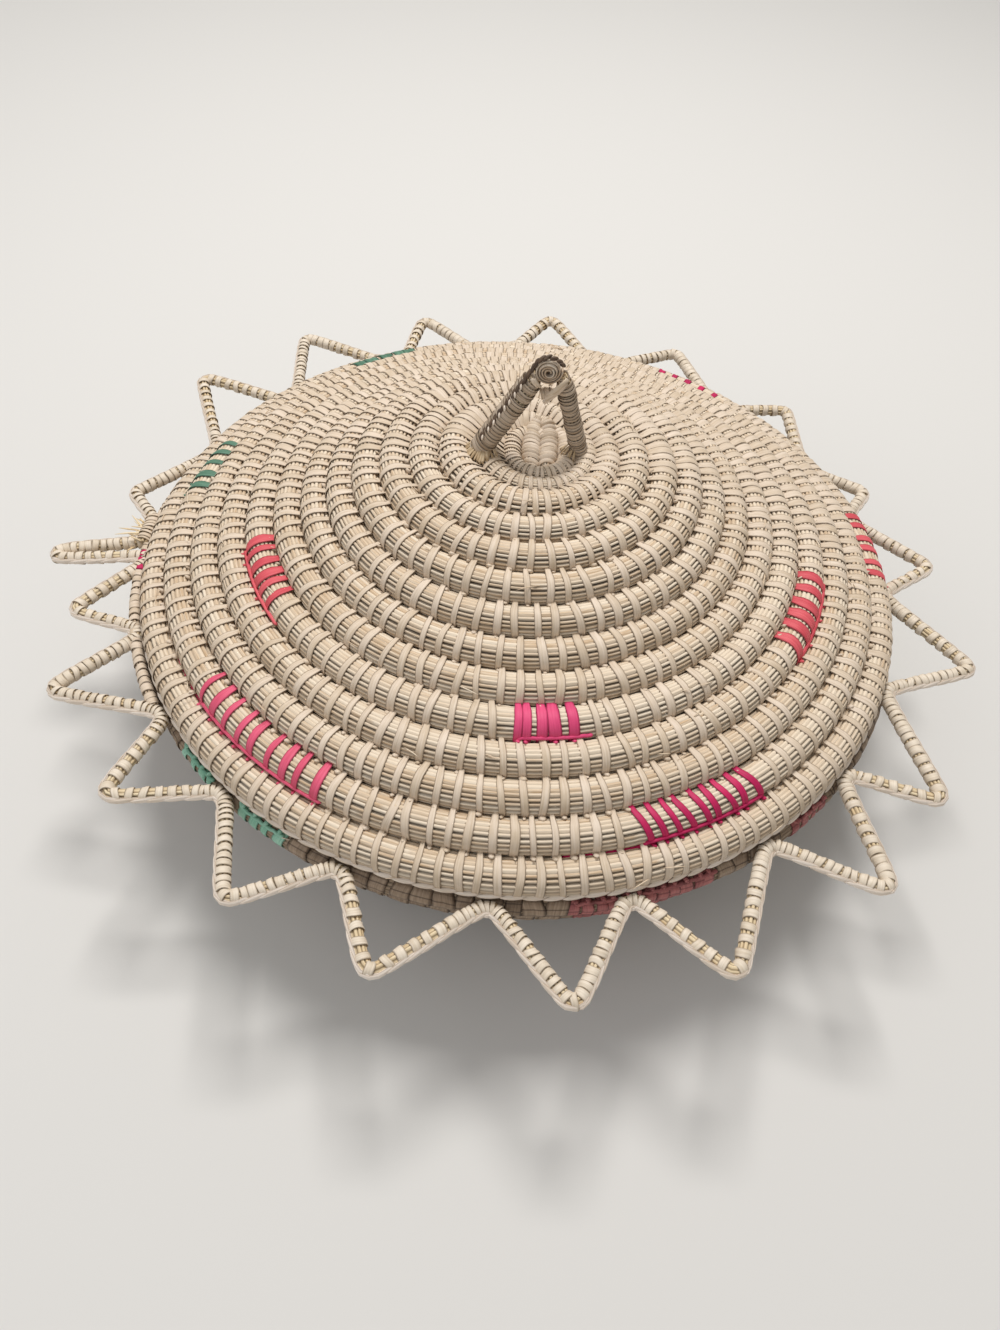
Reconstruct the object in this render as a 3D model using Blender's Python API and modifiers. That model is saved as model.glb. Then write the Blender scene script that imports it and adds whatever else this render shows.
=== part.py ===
"""Lidded coiled basket of grass stems sewn with palm strips.

Two continuous coils make the object: one winds out from the middle of the base and climbs
its wall, the other winds out from the crown of the domed lid.  A wrapped cord zigzags round
the rim as a border, and an A-shaped wrapped handle stands on the crown.
Metres, +Z up.  The origin is on the basket's axis, on the surface that it stands on.
"""
import math
from collections import namedtuple

import bmesh
import bpy
from mathutils import Matrix, Vector

# Clearances
SEAT_GAP = 0.0003
CUT_OVERRUN = 0.01
WELD_DISTANCE = 0.00001

# Coils: how they are drawn
POINTS_PER_LOOP = 24
BUNDLE_FILL_SHARE = 0.92
CORE_FILL_SHARE = 0.84
CORE_ROWS = 3
# A cord is drawn with this many sides, the uppermost and the lowest of them level
CORD_SIDES = 6
LEAST_COIL_GAP = 0.0004
# Between these bearings a row steps out to the place of the next one, round the core and later on
CORE_STEP_DEG = (15.0, 105.0)
LATER_STEP_DEG = (66.0, 112.0)
STEP_SETTLES_ROWS = 12
TAIL_THINNEST_SHARE = 0.2
TAIL_TUCK_SHARE = 0.12
# The ring round the two core bundles: how far out its middle and its outer side lie, in core rows
RING_MIDDLE_SHARE = 1.5
RING_OUTER_SHARE = 2.5
# The next row is drawn half way towards the axis
EYE_DRIFT_SHARE = 0.5
# First round seam of the base, in rows of the core and of the base
EYE_CORE_SHARE = 2.25
EYE_ROW_SHARE = 0.75

# Lid: the two bundles at the crown, then rows that widen towards the edge
LID_CORE_ROW = 0.0070
LID_CORE_STRAIGHT = 0.0057
LID_CORE_X = 0.0038
LID_CORE_Y = 0.0028
LID_EYE_RADIUS = 0.0129
LID_FIRST_ROW = 0.0106
LID_LAST_ROW = 0.0128
# Fall of each row from the crown to the edge, in degrees
LID_ROW_FALL_DEG = (-2.5, 3.0, 9.0, 18.0, 29.0, 33.0, 28.0, 24.0, 24.0, 25.0, 27.0, 32.0, 38.0)

# Base: rows of the wall from the rim down, in degrees from the horizontal
BASE_ROW = 0.0112
BASE_CORE_ROW = 0.0086
BASE_CORE_STRAIGHT = 0.0040
WALL_RISE_DEG = (73.0, 66.0, 62.0, 58.0, 52.0, 43.0, 30.0, 15.0, 5.0)
RIM_PAST_LID = 0.0028
FLAT_CUT_SHARE = 0.1

# Plaited edging along the lid's lower edge, and the ring under it that keeps the lid in place
EDGE_BRAID_THICKNESS = 0.0018
EDGE_BRAID_BELOW_DEG = 30.0
LOCATING_RING_THICKNESS = 0.0062
LOCATING_RING_BELOW_DEG = 225.0

# Zigzag border
BORDER_CORD = 0.0052
BORDER_ABOVE_RIM_DEG = 30.0
BORDER_TURN = 0.0032
BORDER_REACH = 0.0364
BORDER_RUN = 0.0056
# Bearing of each inner bend and of the point that follows it, anticlockwise from +X
BORDER_BENDS_DEG = (-176.0, -161.0, -145.0, -129.0, -110.0, -91.0, -73.5, -53.5, -37.0, -19.5,
                    0.5, 18.0, 32.0, 53.0, 77.5, 97.5, 116.0, 138.0, 157.0)
BORDER_POINTS_DEG = (-176.7, -167.0, -154.5, -138.0, -119.0, -102.0, -82.0, -65.5, -46.0, -32.0, -11.0,
                     7.0, 23.5, 44.5, 66.0, 87.5, 108.0, 127.0, 144.5, 170.0)
BORDER_POINT_SHARES = (1.08, 0.72, 0.96, 0.86, 0.78, 0.84, 0.92, 0.94, 1.0, 0.9, 0.9,
                       0.7, 0.5, 0.72, 0.86, 1.04, 1.0, 1.16, 1.22, 0.56)
BORDER_START_DEG = -181.2
# Past this bearing the rim's tail has ended and the row under it carries the border
RIM_TAIL_END_DEG = 88.0
BORDER_JOIN_GAP = 0.0040
# Corners sharper than this are eased
BORDER_SHARP_DEG = 30.0

# Handle
HANDLE_LEFT_FOOT_X = -0.0156
HANDLE_RIGHT_FOOT_X = 0.0186
HANDLE_LEFT_FOOT_Y = -0.0009
HANDLE_RIGHT_FOOT_Y = 0.0030
HANDLE_APEX_X = 0.0042
HANDLE_APEX_Y = 0.0010
HANDLE_RISE = 0.0330
HANDLE_LEFT_LEG = 0.0076
HANDLE_RIGHT_LEG = 0.0066
CROWN_ROLL_WIDTH = 0.0102
CROWN_ROLL_DEPTH = 0.0066
CROWN_ROLL_DOME = 0.0010
HANDLE_EDGING = 0.0018
HANDLE_TAIL = 0.0042
HANDLE_TAIL_LENGTH = 0.0042
FOOT_STITCH = 0.0011
FOOT_STITCH_RISE = 0.0045
FOOT_STITCH_SPREAD = 0.0040
FOOT_STITCH_COUNT = 5
FOOT_STITCH_FIRST_DEG = -150.0
FOOT_STITCH_LAST_DEG = -30.0
UPPER_STITCH_SHARE = 1.06
STRAND_SHARE = 0.55
ANKLE_SHARE = 0.25
# Where the legs meet the crown roll, as shares of its radius
LEFT_FLANK_SHARE = 0.94
RIGHT_FLANK_SHARE = 1.1
LOW_FLANK_SHARE = 0.8
TAIL_HEIGHT_SHARE = 0.8
TAIL_DROOP_DEG = 40.0
EDGING_START_DEG = 140.0
EDGING_END_DEG = 15.0

# Sewing strips in dyed palm
STRIP_WIDTH = 0.0024
STRIP_THICKNESS = 0.0006
STRIP_HALF_WRAP_DEG = 66.0
STRIP_ARC_STEPS = 4
STRIP_SPACING = 0.0066
STRAND_THICKNESS = 0.0012
STRAND_END_SHARE = 0.3
STRAND_RISE_SHARE = 0.25
# A bearing this near a corner of the coil, as a share of one straight, counts as on it
CORNER_SHARE = 0.001

# Dyed groups: name, row counted from the rim or edge inwards, first and last bearing, colour.
# The bearings run on from the end of one step, at -248, to the start of the next, at 66.
LID_DYED_DEG = (
    ("lid_strips_hot_pink_front", 5, -90.0, -68.0, "hot_pink"),
    ("lid_strips_magenta_front_right", 2, -72.0, -52.0, "magenta"),
    ("lid_strips_pink_front_left", 2, -141.0, -114.0, "hot_pink"),
    ("lid_strips_coral_left", 5, -164.0, -143.0, "coral"),
    ("lid_strips_coral_right", 4, -30.0, -10.0, "coral"),
    ("lid_strips_pink_right_edge", 1, -1.0, 13.0, "dusty_pink"),
    ("lid_strips_magenta_back_right", 2, 50.0, 64.0, "magenta"),
    ("lid_strips_green_back_left", 2, -245.0, -232.0, "sea_green"),
    ("lid_strips_green_left", 2, -200.0, -186.0, "sea_green"),
)
BASE_DYED_DEG = (
    ("base_strips_mint_front_left", 1, -139.0, -132.0, "mint"),
    ("base_strips_mint_front", 1, -126.5, -119.0, "mint"),
    ("base_strips_dusty_pink_front", 2, -80.0, -62.0, "dusty_pink"),
    ("base_strips_pink_front_right", 1, -48.5, -42.0, "dusty_pink"),
)

# Linear colour and roughness of each material
FINISHES = {
    "natural_coil": ((0.62, 0.50, 0.36), 0.75),
    "natural_cord": ((0.68, 0.58, 0.44), 0.70),
    "plaited_edge": ((0.74, 0.65, 0.51), 0.70),
    "hidden_ring": ((0.52, 0.41, 0.28), 0.80),
    "hot_pink": ((0.60, 0.05, 0.15), 0.65),
    "magenta": ((0.50, 0.03, 0.12), 0.65),
    "coral": ((0.60, 0.16, 0.16), 0.65),
    "dusty_pink": ((0.55, 0.22, 0.20), 0.70),
    "sea_green": ((0.16, 0.38, 0.28), 0.65),
    "mint": ((0.33, 0.55, 0.45), 0.65),
}


# Small geometry helpers

def blend(start, end, share):
    return start + (end - start) * share


def ease(share):
    share = min(max(share, 0.0), 1.0)
    return share * share * (3.0 - 2.0 * share)


def on_circle(radius, bearing_deg, height):
    bearing = math.radians(bearing_deg)
    return Vector((radius * math.cos(bearing), radius * math.sin(bearing), height))


def slope(angle_deg, length):
    """Run and rise of a length laid at an angle to the horizontal."""
    angle = math.radians(angle_deg)
    return length * math.cos(angle), length * math.sin(angle)


def side_reach(radius, angle_deg):
    """Distance from a cord's middle to its side, in a direction across the cord."""
    turn = math.pi / CORD_SIDES
    off_flat = (math.radians(angle_deg) % (2 * turn)) - turn
    return radius * math.cos(turn) / math.cos(off_flat)


# Seams: the line between two rows.  The first two follow the turned bundles at the middle of a
# coil, where turns is 1 round the two bundles and 2 round their first ring.
Core = namedtuple("Core", "row straight turns x y z")
Round = namedtuple("Round", "x y radius z")


def core_seam_point(core, bearing_deg):
    """Outline of the turned bundles: round their back end, then round their front end."""
    bearing = math.radians(bearing_deg)
    half = core.straight / 2
    if math.sin(bearing) < 0.0:
        wide = core.turns * core.row
        return Vector((core.x + wide * math.cos(bearing),
                       core.y - half + wide * math.sin(bearing), core.z))
    start = half if core.turns == 1 else 0.0
    deep = half + RING_MIDDLE_SHARE * core.row - start
    outer = RING_MIDDLE_SHARE if core.turns == 1 else RING_OUTER_SHARE
    wide = (RING_MIDDLE_SHARE if math.cos(bearing) < 0.0 else outer) * core.row
    return Vector((core.x - core.row / 2 + wide * math.cos(bearing),
                   core.y + start + deep * math.sin(bearing), core.z))


def round_seam_point(seam, bearing_deg):
    return Vector((seam.x, seam.y, 0.0)) + on_circle(seam.radius, bearing_deg, seam.z)


def seam_line_point(seam, bearing_deg):
    if isinstance(seam, Core):
        return core_seam_point(seam, bearing_deg)
    return round_seam_point(seam, bearing_deg)


def lid_seams():
    """Seams of the lid from the core outwards, with the crown at height zero."""
    seams = [Core(LID_CORE_ROW, LID_CORE_STRAIGHT, turns, LID_CORE_X, LID_CORE_Y, 0.0)
             for turns in (1, 2)]
    radius = LID_EYE_RADIUS
    height = 0.0
    last = len(LID_ROW_FALL_DEG) - 1
    for index, fall in enumerate(LID_ROW_FALL_DEG):
        row = blend(LID_FIRST_ROW, LID_LAST_ROW, index / last)
        run, drop = slope(fall, row)
        radius += run
        height -= drop
        drift = EYE_DRIFT_SHARE if index == 0 else 0.0
        seams.append(Round(LID_CORE_X * drift, LID_CORE_Y * drift, radius, height))
    return seams


def wall_places(rim_radius):
    """Radius and height of the wall's seams from the rim down, from the rim row's centre."""
    run, climb = slope(WALL_RISE_DEG[0], BASE_ROW / 2)
    places = [(rim_radius + run, climb)]
    for rise in WALL_RISE_DEG:
        run, climb = slope(rise, BASE_ROW)
        radius, height = places[-1]
        places.append((radius - run, height - climb))
    return places


def height_when_cut(thickness):
    """Height of a cord's centre over the floor once a tenth of the cord is cut away under it."""
    return side_reach(thickness / 2, 90.0) - thickness * FLAT_CUT_SHARE


def floor_height():
    return height_when_cut(BASE_ROW * BUNDLE_FILL_SHARE)


def base_seams(rim_radius):
    """Seams of the base from the core outwards, with the flat rows' centres at height zero."""
    wall = wall_places(rim_radius)
    flat_radius, flat_height = wall[-1]
    sunk = height_when_cut(BASE_CORE_ROW * CORE_FILL_SHARE) - floor_height()
    seams = [Core(BASE_CORE_ROW, BASE_CORE_STRAIGHT, turns, BASE_CORE_ROW / 2, 0.0, sunk)
             for turns in (1, 2)]
    first_radius = EYE_CORE_SHARE * BASE_CORE_ROW + EYE_ROW_SHARE * BASE_ROW
    seams.append(Round(BASE_CORE_ROW / 4, 0.0, first_radius, 0.0))
    flat_rows = max(round((flat_radius - first_radius) / BASE_ROW), 1)
    for index in range(1, flat_rows):
        radius = blend(first_radius, flat_radius, index / flat_rows)
        seams.append(Round(0.0, 0.0, radius, 0.0))
    for radius, height in reversed(wall):
        seams.append(Round(0.0, 0.0, radius, height - flat_height))
    return seams


def seam_point(seams, number, bearing_deg):
    """Point between two neighbouring seams, where number says how far it lies between them."""
    low = min(int(number), len(seams) - 2)
    near = seam_line_point(seams[low], bearing_deg)
    far = seam_line_point(seams[low + 1], bearing_deg)
    return near.lerp(far, number - low)


# The coil's route

def row_number(bearing_deg):
    """Which seam lies inside the coil at this bearing, counted on through all its turns."""
    whole = math.floor((bearing_deg - CORE_STEP_DEG[0]) / 360.0)
    settled = min(whole / STEP_SETTLES_ROWS, 1.0)
    start = blend(CORE_STEP_DEG[0], LATER_STEP_DEG[0], settled)
    end = blend(CORE_STEP_DEG[1], LATER_STEP_DEG[1], settled)
    return whole + ease((bearing_deg - 360.0 * whole - start) / (end - start))


def coil_section(seams, bearing_deg):
    """Centre and radius of the coil at a bearing, from the seams on its two sides."""
    last = len(seams) - 1
    inner = row_number(bearing_deg)
    outer = row_number(bearing_deg + 360.0)
    if outer > last:
        outer = last - TAIL_TUCK_SHARE * ease(outer - last)
    near = seam_point(seams, inner, bearing_deg)
    far = seam_point(seams, outer, bearing_deg)
    fill = blend(CORE_FILL_SHARE, BUNDLE_FILL_SHARE, min(inner / CORE_ROWS, 1.0))
    return (near + far) / 2, (far - near).length / 2 * fill


def row_frame(seams, number, bearing_deg):
    """Centre and radius of a row at a bearing, with the directions across it and out of it.

    Between the coil's points the coil is straight, so the directions are those of that straight.
    """
    step = 360.0 / POINTS_PER_LOOP
    turns = 360.0 * (len(seams) - 1 - number)
    place = bearing_deg / step
    left = math.floor(place + CORNER_SHARE)
    on_corner = abs(place - left) < CORNER_SHARE
    right = left if on_corner else left + 1
    near, near_radius = coil_section(seams, turns + left * step)
    far, far_radius = coil_section(seams, turns + right * step)
    share = 0.0 if on_corner else place - left
    outward = on_circle(1.0, (left + right) / 2 * step, 0.0)
    fall = Vector((seams[-number].radius - seams[-number - 1].radius,
                   seams[-number].z - seams[-number - 1].z)).normalized()
    across = outward * fall.x + Vector((0.0, 0.0, fall.y))
    away = outward * -fall.y + Vector((0.0, 0.0, fall.x))
    return near.lerp(far, share), blend(near_radius, far_radius, share), across, away


def arc_points(centre, radius, start_deg, end_deg, steps):
    points = []
    for index in range(steps + 1):
        angle = math.radians(blend(start_deg, end_deg, index / steps))
        points.append(centre + Vector((radius * math.cos(angle), radius * math.sin(angle), 0.0)))
    return points


def core_route(core):
    """Two bundles side by side, the turn over their back end and the first ring's front."""
    row = core.row
    front = Vector((core.x, core.y - core.straight / 2, core.z))
    back = Vector((core.x - row / 2, core.y + core.straight / 2, core.z))
    points = [back]
    points += arc_points(front, row / 2, 180.0, 360.0, 4)
    points += arc_points(back, row, 0.0, 180.0, 6)
    points += arc_points(front, RING_MIDDLE_SHARE * row, 180.0, 360.0, 8)
    return [(point, row / 2 * CORE_FILL_SHARE) for point in points]


def coil_route(seams):
    """Every point of a coil with its radius, from its first bundle to its tapered tail."""
    route = core_route(seams[0])
    step = 360.0 / POINTS_PER_LOOP
    last = len(seams) - 1
    bearing = CORE_STEP_DEG[0]
    full = 0.0
    while True:
        centre, radius = coil_section(seams, bearing)
        if row_number(bearing + 360.0) <= last:
            full = radius
        elif radius < full * TAIL_THINNEST_SHARE:
            break
        route.append((centre, radius))
        bearing += step
    return route


def least_gap(route):
    """Least distance between the coil's surface and itself, measured on its points."""
    least = None
    for index, (point, radius) in enumerate(route):
        walked = 0.0
        for other in range(index + 1, len(route)):
            walked += (route[other][0] - route[other - 1][0]).length
            if walked < math.pi * (radius + route[other][1]):
                continue
            gap = (route[other][0] - point).length - radius - route[other][1]
            if least is None or gap < least:
                least = gap
    return least


# Making objects

def new_collection(name):
    collection = bpy.data.collections.new(name)
    bpy.context.scene.collection.children.link(collection)
    return collection


def make_finish(name):
    colour, roughness = FINISHES[name]
    material = bpy.data.materials.new(name)
    material.use_nodes = True
    shader = material.node_tree.nodes["Principled BSDF"]
    shader.inputs["Base Color"].default_value = (*colour, 1.0)
    shader.inputs["Roughness"].default_value = roughness
    shader.inputs["Metallic"].default_value = 0.0
    material.diffuse_color = (*colour, 1.0)
    return material


def curve_to_mesh(name, data, collection):
    """Mesh object with welded caps from a curve's data block, which is then removed."""
    curve = bpy.data.objects.new(name + "_route", data)
    collection.objects.link(curve)
    bpy.context.view_layer.update()
    evaluated = curve.evaluated_get(bpy.context.evaluated_depsgraph_get())
    mesh = bpy.data.meshes.new_from_object(evaluated)
    matrix = curve.matrix_world.copy()
    bpy.data.objects.remove(curve)
    bpy.data.curves.remove(data)
    mesh.name = name
    weld(mesh)
    made = bpy.data.objects.new(name, mesh)
    made.matrix_world = matrix
    collection.objects.link(made)
    return made


def weld(mesh):
    cage = bmesh.new()
    cage.from_mesh(mesh)
    bmesh.ops.remove_doubles(cage, verts=cage.verts, dist=WELD_DISTANCE)
    bmesh.ops.recalc_face_normals(cage, faces=cage.faces)
    cage.to_mesh(mesh)
    cage.free()


def tube_curve(name, route, cyclic=False, resolution=1):
    """Curve data for a tube whose radius is given at every point."""
    data = bpy.data.curves.new(name, "CURVE")
    data.dimensions = "3D"
    data.twist_mode = "Z_UP"
    data.bevel_depth = max(radius for _, radius in route)
    data.bevel_resolution = resolution
    data.use_fill_caps = not cyclic
    spline = data.splines.new("POLY")
    spline.points.add(len(route) - 1)
    for point, (place, radius) in zip(spline.points, route):
        point.co = (*place, 1.0)
        point.radius = radius / data.bevel_depth
    spline.use_cyclic_u = cyclic
    return data


def tube(name, route, collection, finish, cyclic=False, resolution=1):
    made = curve_to_mesh(name, tube_curve(name, route, cyclic, resolution), collection)
    made.data.materials.append(finish)
    return made


def cutter(made, collection):
    for owner in list(made.users_collection):
        owner.objects.unlink(made)
    collection.objects.link(made)
    made.hide_render = True
    made.display_type = "WIRE"
    return made


def cut(target, tool):
    modifier = target.modifiers.new("cut", "BOOLEAN")
    modifier.operation = "DIFFERENCE"
    modifier.solver = "EXACT"
    modifier.object = tool
    return modifier


def arc_outline(inner, outer, start_deg, end_deg, steps):
    """Closed outline of a bent strip: out along its outer side and back along its inner side."""
    points = []
    for index in range(steps + 1):
        angle = math.radians(blend(start_deg, end_deg, index / steps))
        points.append((outer * math.cos(angle), outer * math.sin(angle)))
    for index in range(steps, -1, -1):
        angle = math.radians(blend(start_deg, end_deg, index / steps))
        points.append((inner * math.cos(angle), inner * math.sin(angle)))
    return points


def strip_mesh(name, outline, width, matrix, collection):
    """One bent strip: a flat outline extruded by half its width to each side."""
    data = bpy.data.curves.new(name, "CURVE")
    data.dimensions = "2D"
    data.fill_mode = "BOTH"
    data.extrude = width / 2
    spline = data.splines.new("POLY")
    spline.points.add(len(outline) - 1)
    for point, (x, y) in zip(spline.points, outline):
        point.co = (x, y, 0.0, 1.0)
    spline.use_cyclic_u = True
    made = curve_to_mesh(name, data, collection)
    made.data.transform(matrix)
    return made


def joined(pieces):
    """The first piece with the others' solids added, each still a separate solid."""
    cage = bmesh.new()
    for piece in pieces:
        cage.from_mesh(piece.data)
    cage.to_mesh(pieces[0].data)
    cage.free()
    for piece in pieces[1:]:
        old = piece.data
        bpy.data.objects.remove(piece)
        bpy.data.meshes.remove(old)
    return pieces[0]


def united(name, body, others, finish):
    """One body from a body and the pieces that it crosses, by one Boolean union."""
    crossed = joined(others)
    union = body.modifiers.new("union", "BOOLEAN")
    union.operation = "UNION"
    union.solver = "EXACT"
    union.object = crossed
    bpy.context.view_layer.update()
    evaluated = body.evaluated_get(bpy.context.evaluated_depsgraph_get())
    mesh = bpy.data.meshes.new_from_object(evaluated)
    body.modifiers.clear()
    for old in (body.data, crossed.data):
        if old is crossed.data:
            bpy.data.objects.remove(crossed)
        else:
            body.data = mesh
        bpy.data.meshes.remove(old)
    weld(mesh)
    body.name = name
    mesh.name = name
    mesh.materials.clear()
    mesh.materials.append(finish)
    return body


def axes_matrix(side, up, along, place):
    """Matrix whose columns are three directions and a place."""
    from_axes = Matrix((side, up, along)).transposed().to_4x4()
    from_axes.translation = place
    return from_axes


# The base

def lifted(seams, height):
    return [seam._replace(z=seam.z + height) for seam in seams]


def outer_row(seams, number):
    """Radius and height of a row's centre, and its thickness, counted from the outside in."""
    outer = seams[-number]
    inner = seams[-number - 1]
    thickness = math.hypot(outer.radius - inner.radius, outer.z - inner.z) * BUNDLE_FILL_SHARE
    return (outer.radius + inner.radius) / 2, (outer.z + inner.z) / 2, thickness


def make_base_coil(seams, parts, cutters, finish):
    route = coil_route(seams)
    report_gap("base_coil", route)
    coil = tube("base_coil", route, parts, finish)
    reach = seams[-1].radius + CUT_OVERRUN
    bpy.ops.mesh.primitive_cube_add(size=1.0)
    floor = cutter(bpy.context.object, cutters)
    floor.name = "floor_cutter"
    floor.scale = (2 * reach, 2 * reach, 2 * CUT_OVERRUN)
    floor.location = (0.0, 0.0, -CUT_OVERRUN)
    cut(coil, floor)
    return coil


def report_gap(name, route):
    gap = least_gap(route)
    print(f"{name}: least gap to itself {gap * 1000:.2f} mm over {len(route)} points")
    if gap < LEAST_COIL_GAP:
        print(f"{name}: the gap is under {LEAST_COIL_GAP * 1000:.2f} mm")


# The border

def border_place(seams, bearing_deg):
    """Centre of the border cord at a bearing, on the rim's outer shoulder."""
    turned = bearing_deg - 360.0 if bearing_deg > RIM_TAIL_END_DEG else bearing_deg
    centre, radius, across, away = row_frame(seams, 1, turned)
    beside = side_reach(radius + BORDER_CORD / 2, BORDER_ABOVE_RIM_DEG) + SEAT_GAP
    out, up = slope(BORDER_ABOVE_RIM_DEG, beside)
    return on_circle(centre.to_2d().length + out, bearing_deg, centre.z + up)


def border_point(seams, bearing_deg, share):
    """Turn of the cord at the end of one point of the zigzag."""
    place = border_place(seams, 0.0)
    out = on_circle(1.0, bearing_deg, 0.0)
    side = Vector((-out.y, out.x, 0.0))
    centre = out * (place.x + BORDER_REACH * share - BORDER_TURN - BORDER_CORD / 2)
    centre.z = place.z
    turn = []
    for angle in (-70.0, 0.0, 70.0):
        swing = math.radians(angle)
        turn.append(centre + (out * math.cos(swing) + side * math.sin(swing)) * BORDER_TURN)
    return turn


def border_bend(seams, bearing_deg):
    """Short run of the cord along the rim between two points of the zigzag."""
    half = math.degrees(BORDER_RUN / 2 / seams[-1].radius)
    return [border_place(seams, bearing_deg + shift) for shift in (-half, 0.0, half)]


def eased_corners(places, size):
    """The same route with each sharp corner replaced by two milder ones."""
    eased = [places[0]]
    for before, corner, after in zip(places, places[1:], places[2:]):
        arriving = (corner - before).normalized()
        leaving = (after - corner).normalized()
        if arriving.angle(leaving) < math.radians(BORDER_SHARP_DEG):
            eased.append(corner)
            continue
        step = min(size, (corner - before).length / 2, (after - corner).length / 2)
        eased.append(corner - arriving * step)
        eased.append(corner + leaving * step)
    eased.append(places[-1])
    return eased


def border_route(seams):
    """The cord's end comes round to its start and leaves a small gap for the binding."""
    run = math.degrees(BORDER_RUN / 2 / seams[-1].radius)
    last = BORDER_START_DEG + 360.0 - math.degrees(BORDER_JOIN_GAP / seams[-1].radius)
    places = [border_place(seams, BORDER_START_DEG), border_place(seams, BORDER_START_DEG + run)]
    for index, (bearing, share) in enumerate(zip(BORDER_POINTS_DEG, BORDER_POINT_SHARES)):
        places += border_point(seams, bearing, share)
        if index < len(BORDER_BENDS_DEG):
            places += border_bend(seams, BORDER_BENDS_DEG[index])
    return places + [border_place(seams, last - run), border_place(seams, last)]


def make_border(seams, parts, finish):
    places = eased_corners(border_route(seams), BORDER_TURN / 2)
    route = [(place, BORDER_CORD / 2) for place in places]
    return tube("border_zigzag", route, parts, finish)


# The lid

def lid_seat_height(base, lid):
    """Height of the crown at which the flat under the lid's last row rests on the rim's flat."""
    rim_radius, rim_height, rim_thickness = outer_row(base, 1)
    edge_radius, edge_height, edge_thickness = outer_row(lid, 1)
    apart = side_reach((rim_thickness + edge_thickness) / 2, 90.0) + SEAT_GAP
    return rim_height + apart - edge_height


def make_lid_coil(seams, parts, finish):
    route = coil_route(seams)
    report_gap("lid_coil", route)
    return tube("lid_coil", route, parts, finish)


def beside_last_row(seams, thickness, angle_deg, bearings):
    """Route of a cord that touches the lid's last row at an angle round that row's section."""
    radius, height, row = outer_row(seams, 1)
    out, up = slope(angle_deg, side_reach((row + thickness) / 2, angle_deg) + SEAT_GAP)
    return [(on_circle(radius + out, bearing, height + up), thickness / 2) for bearing in bearings]


def make_edge_braid(seams, parts, finish):
    bearings = [360.0 * index / POINTS_PER_LOOP for index in range(POINTS_PER_LOOP)]
    route = beside_last_row(seams, EDGE_BRAID_THICKNESS, -EDGE_BRAID_BELOW_DEG, bearings)
    return tube("lid_edge_braid", route, parts, finish, cyclic=True)


def make_locating_ring(seams, parts, finish):
    """Open ring inside the rim; it leaves out the bearings at which the coil steps outwards."""
    step = 360.0 / POINTS_PER_LOOP
    first = math.ceil(LATER_STEP_DEG[1] / step)
    last = math.floor((LATER_STEP_DEG[0] + 360.0) / step)
    bearings = [index * step for index in range(first, last + 1)]
    route = beside_last_row(seams, LOCATING_RING_THICKNESS, LOCATING_RING_BELOW_DEG, bearings)
    return tube("lid_locating_ring", route, parts, finish)


# The handle

def foot_place(seams, x, y):
    """Top of the row that a leg of the handle stands on."""
    bearing = math.degrees(math.atan2(y, x))
    centre, radius = coil_section(seams, bearing + 360.0)
    return Vector((x, y, centre.z + side_reach(radius, 90.0) + SEAT_GAP))


def roll_centre(seams):
    return Vector((HANDLE_APEX_X, HANDLE_APEX_Y, seams[1].z + LID_FIRST_ROW / 2 + HANDLE_RISE))


def leg_axis(seams, side):
    """Foot, ankle and upper end of a leg's centre line; the end lies in the crown roll's flank."""
    if side == "left":
        foot = foot_place(seams, HANDLE_LEFT_FOOT_X, HANDLE_LEFT_FOOT_Y)
        ankle = foot + Vector((0.0, 0.0, HANDLE_LEFT_LEG * ANKLE_SHARE))
        flank = Vector((-LEFT_FLANK_SHARE, 0.0, -LOW_FLANK_SHARE))
    else:
        foot = foot_place(seams, HANDLE_RIGHT_FOOT_X, HANDLE_RIGHT_FOOT_Y)
        ankle = foot + Vector((0.0, 0.0, HANDLE_RIGHT_LEG * ANKLE_SHARE))
        flank = Vector((RIGHT_FLANK_SHARE, 0.0, -LOW_FLANK_SHARE))
    return foot, ankle, roll_centre(seams) + flank * CROWN_ROLL_WIDTH / 2


def make_leg(name, seams, side, thickness, roll_tool, parts, finish):
    route = [(place, thickness / 2) for place in leg_axis(seams, side)]
    leg = tube(name, route, parts, finish, resolution=2)
    cut(leg, roll_tool)
    return leg


def turned_roll(name, radius, depth, place, collection):
    bpy.ops.mesh.primitive_cylinder_add(vertices=POINTS_PER_LOOP, radius=radius, depth=depth)
    roll = bpy.context.object
    roll.name = name
    roll.data.name = name
    roll.data.transform(Matrix.Rotation(math.pi / 2, 4, "X"))
    roll.location = place
    for owner in list(roll.users_collection):
        owner.objects.unlink(roll)
    collection.objects.link(roll)
    return roll


def make_crown_roll(seams, parts, finish):
    roll = turned_roll("handle_crown_roll", CROWN_ROLL_WIDTH / 2, CROWN_ROLL_DEPTH,
                       roll_centre(seams), parts)
    roll.data.materials.append(finish)
    rounding = roll.modifiers.new("rounded_rims", "BEVEL")
    rounding.width = CROWN_ROLL_DOME
    rounding.segments = 2
    rounding.limit_method = "ANGLE"
    return roll


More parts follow.
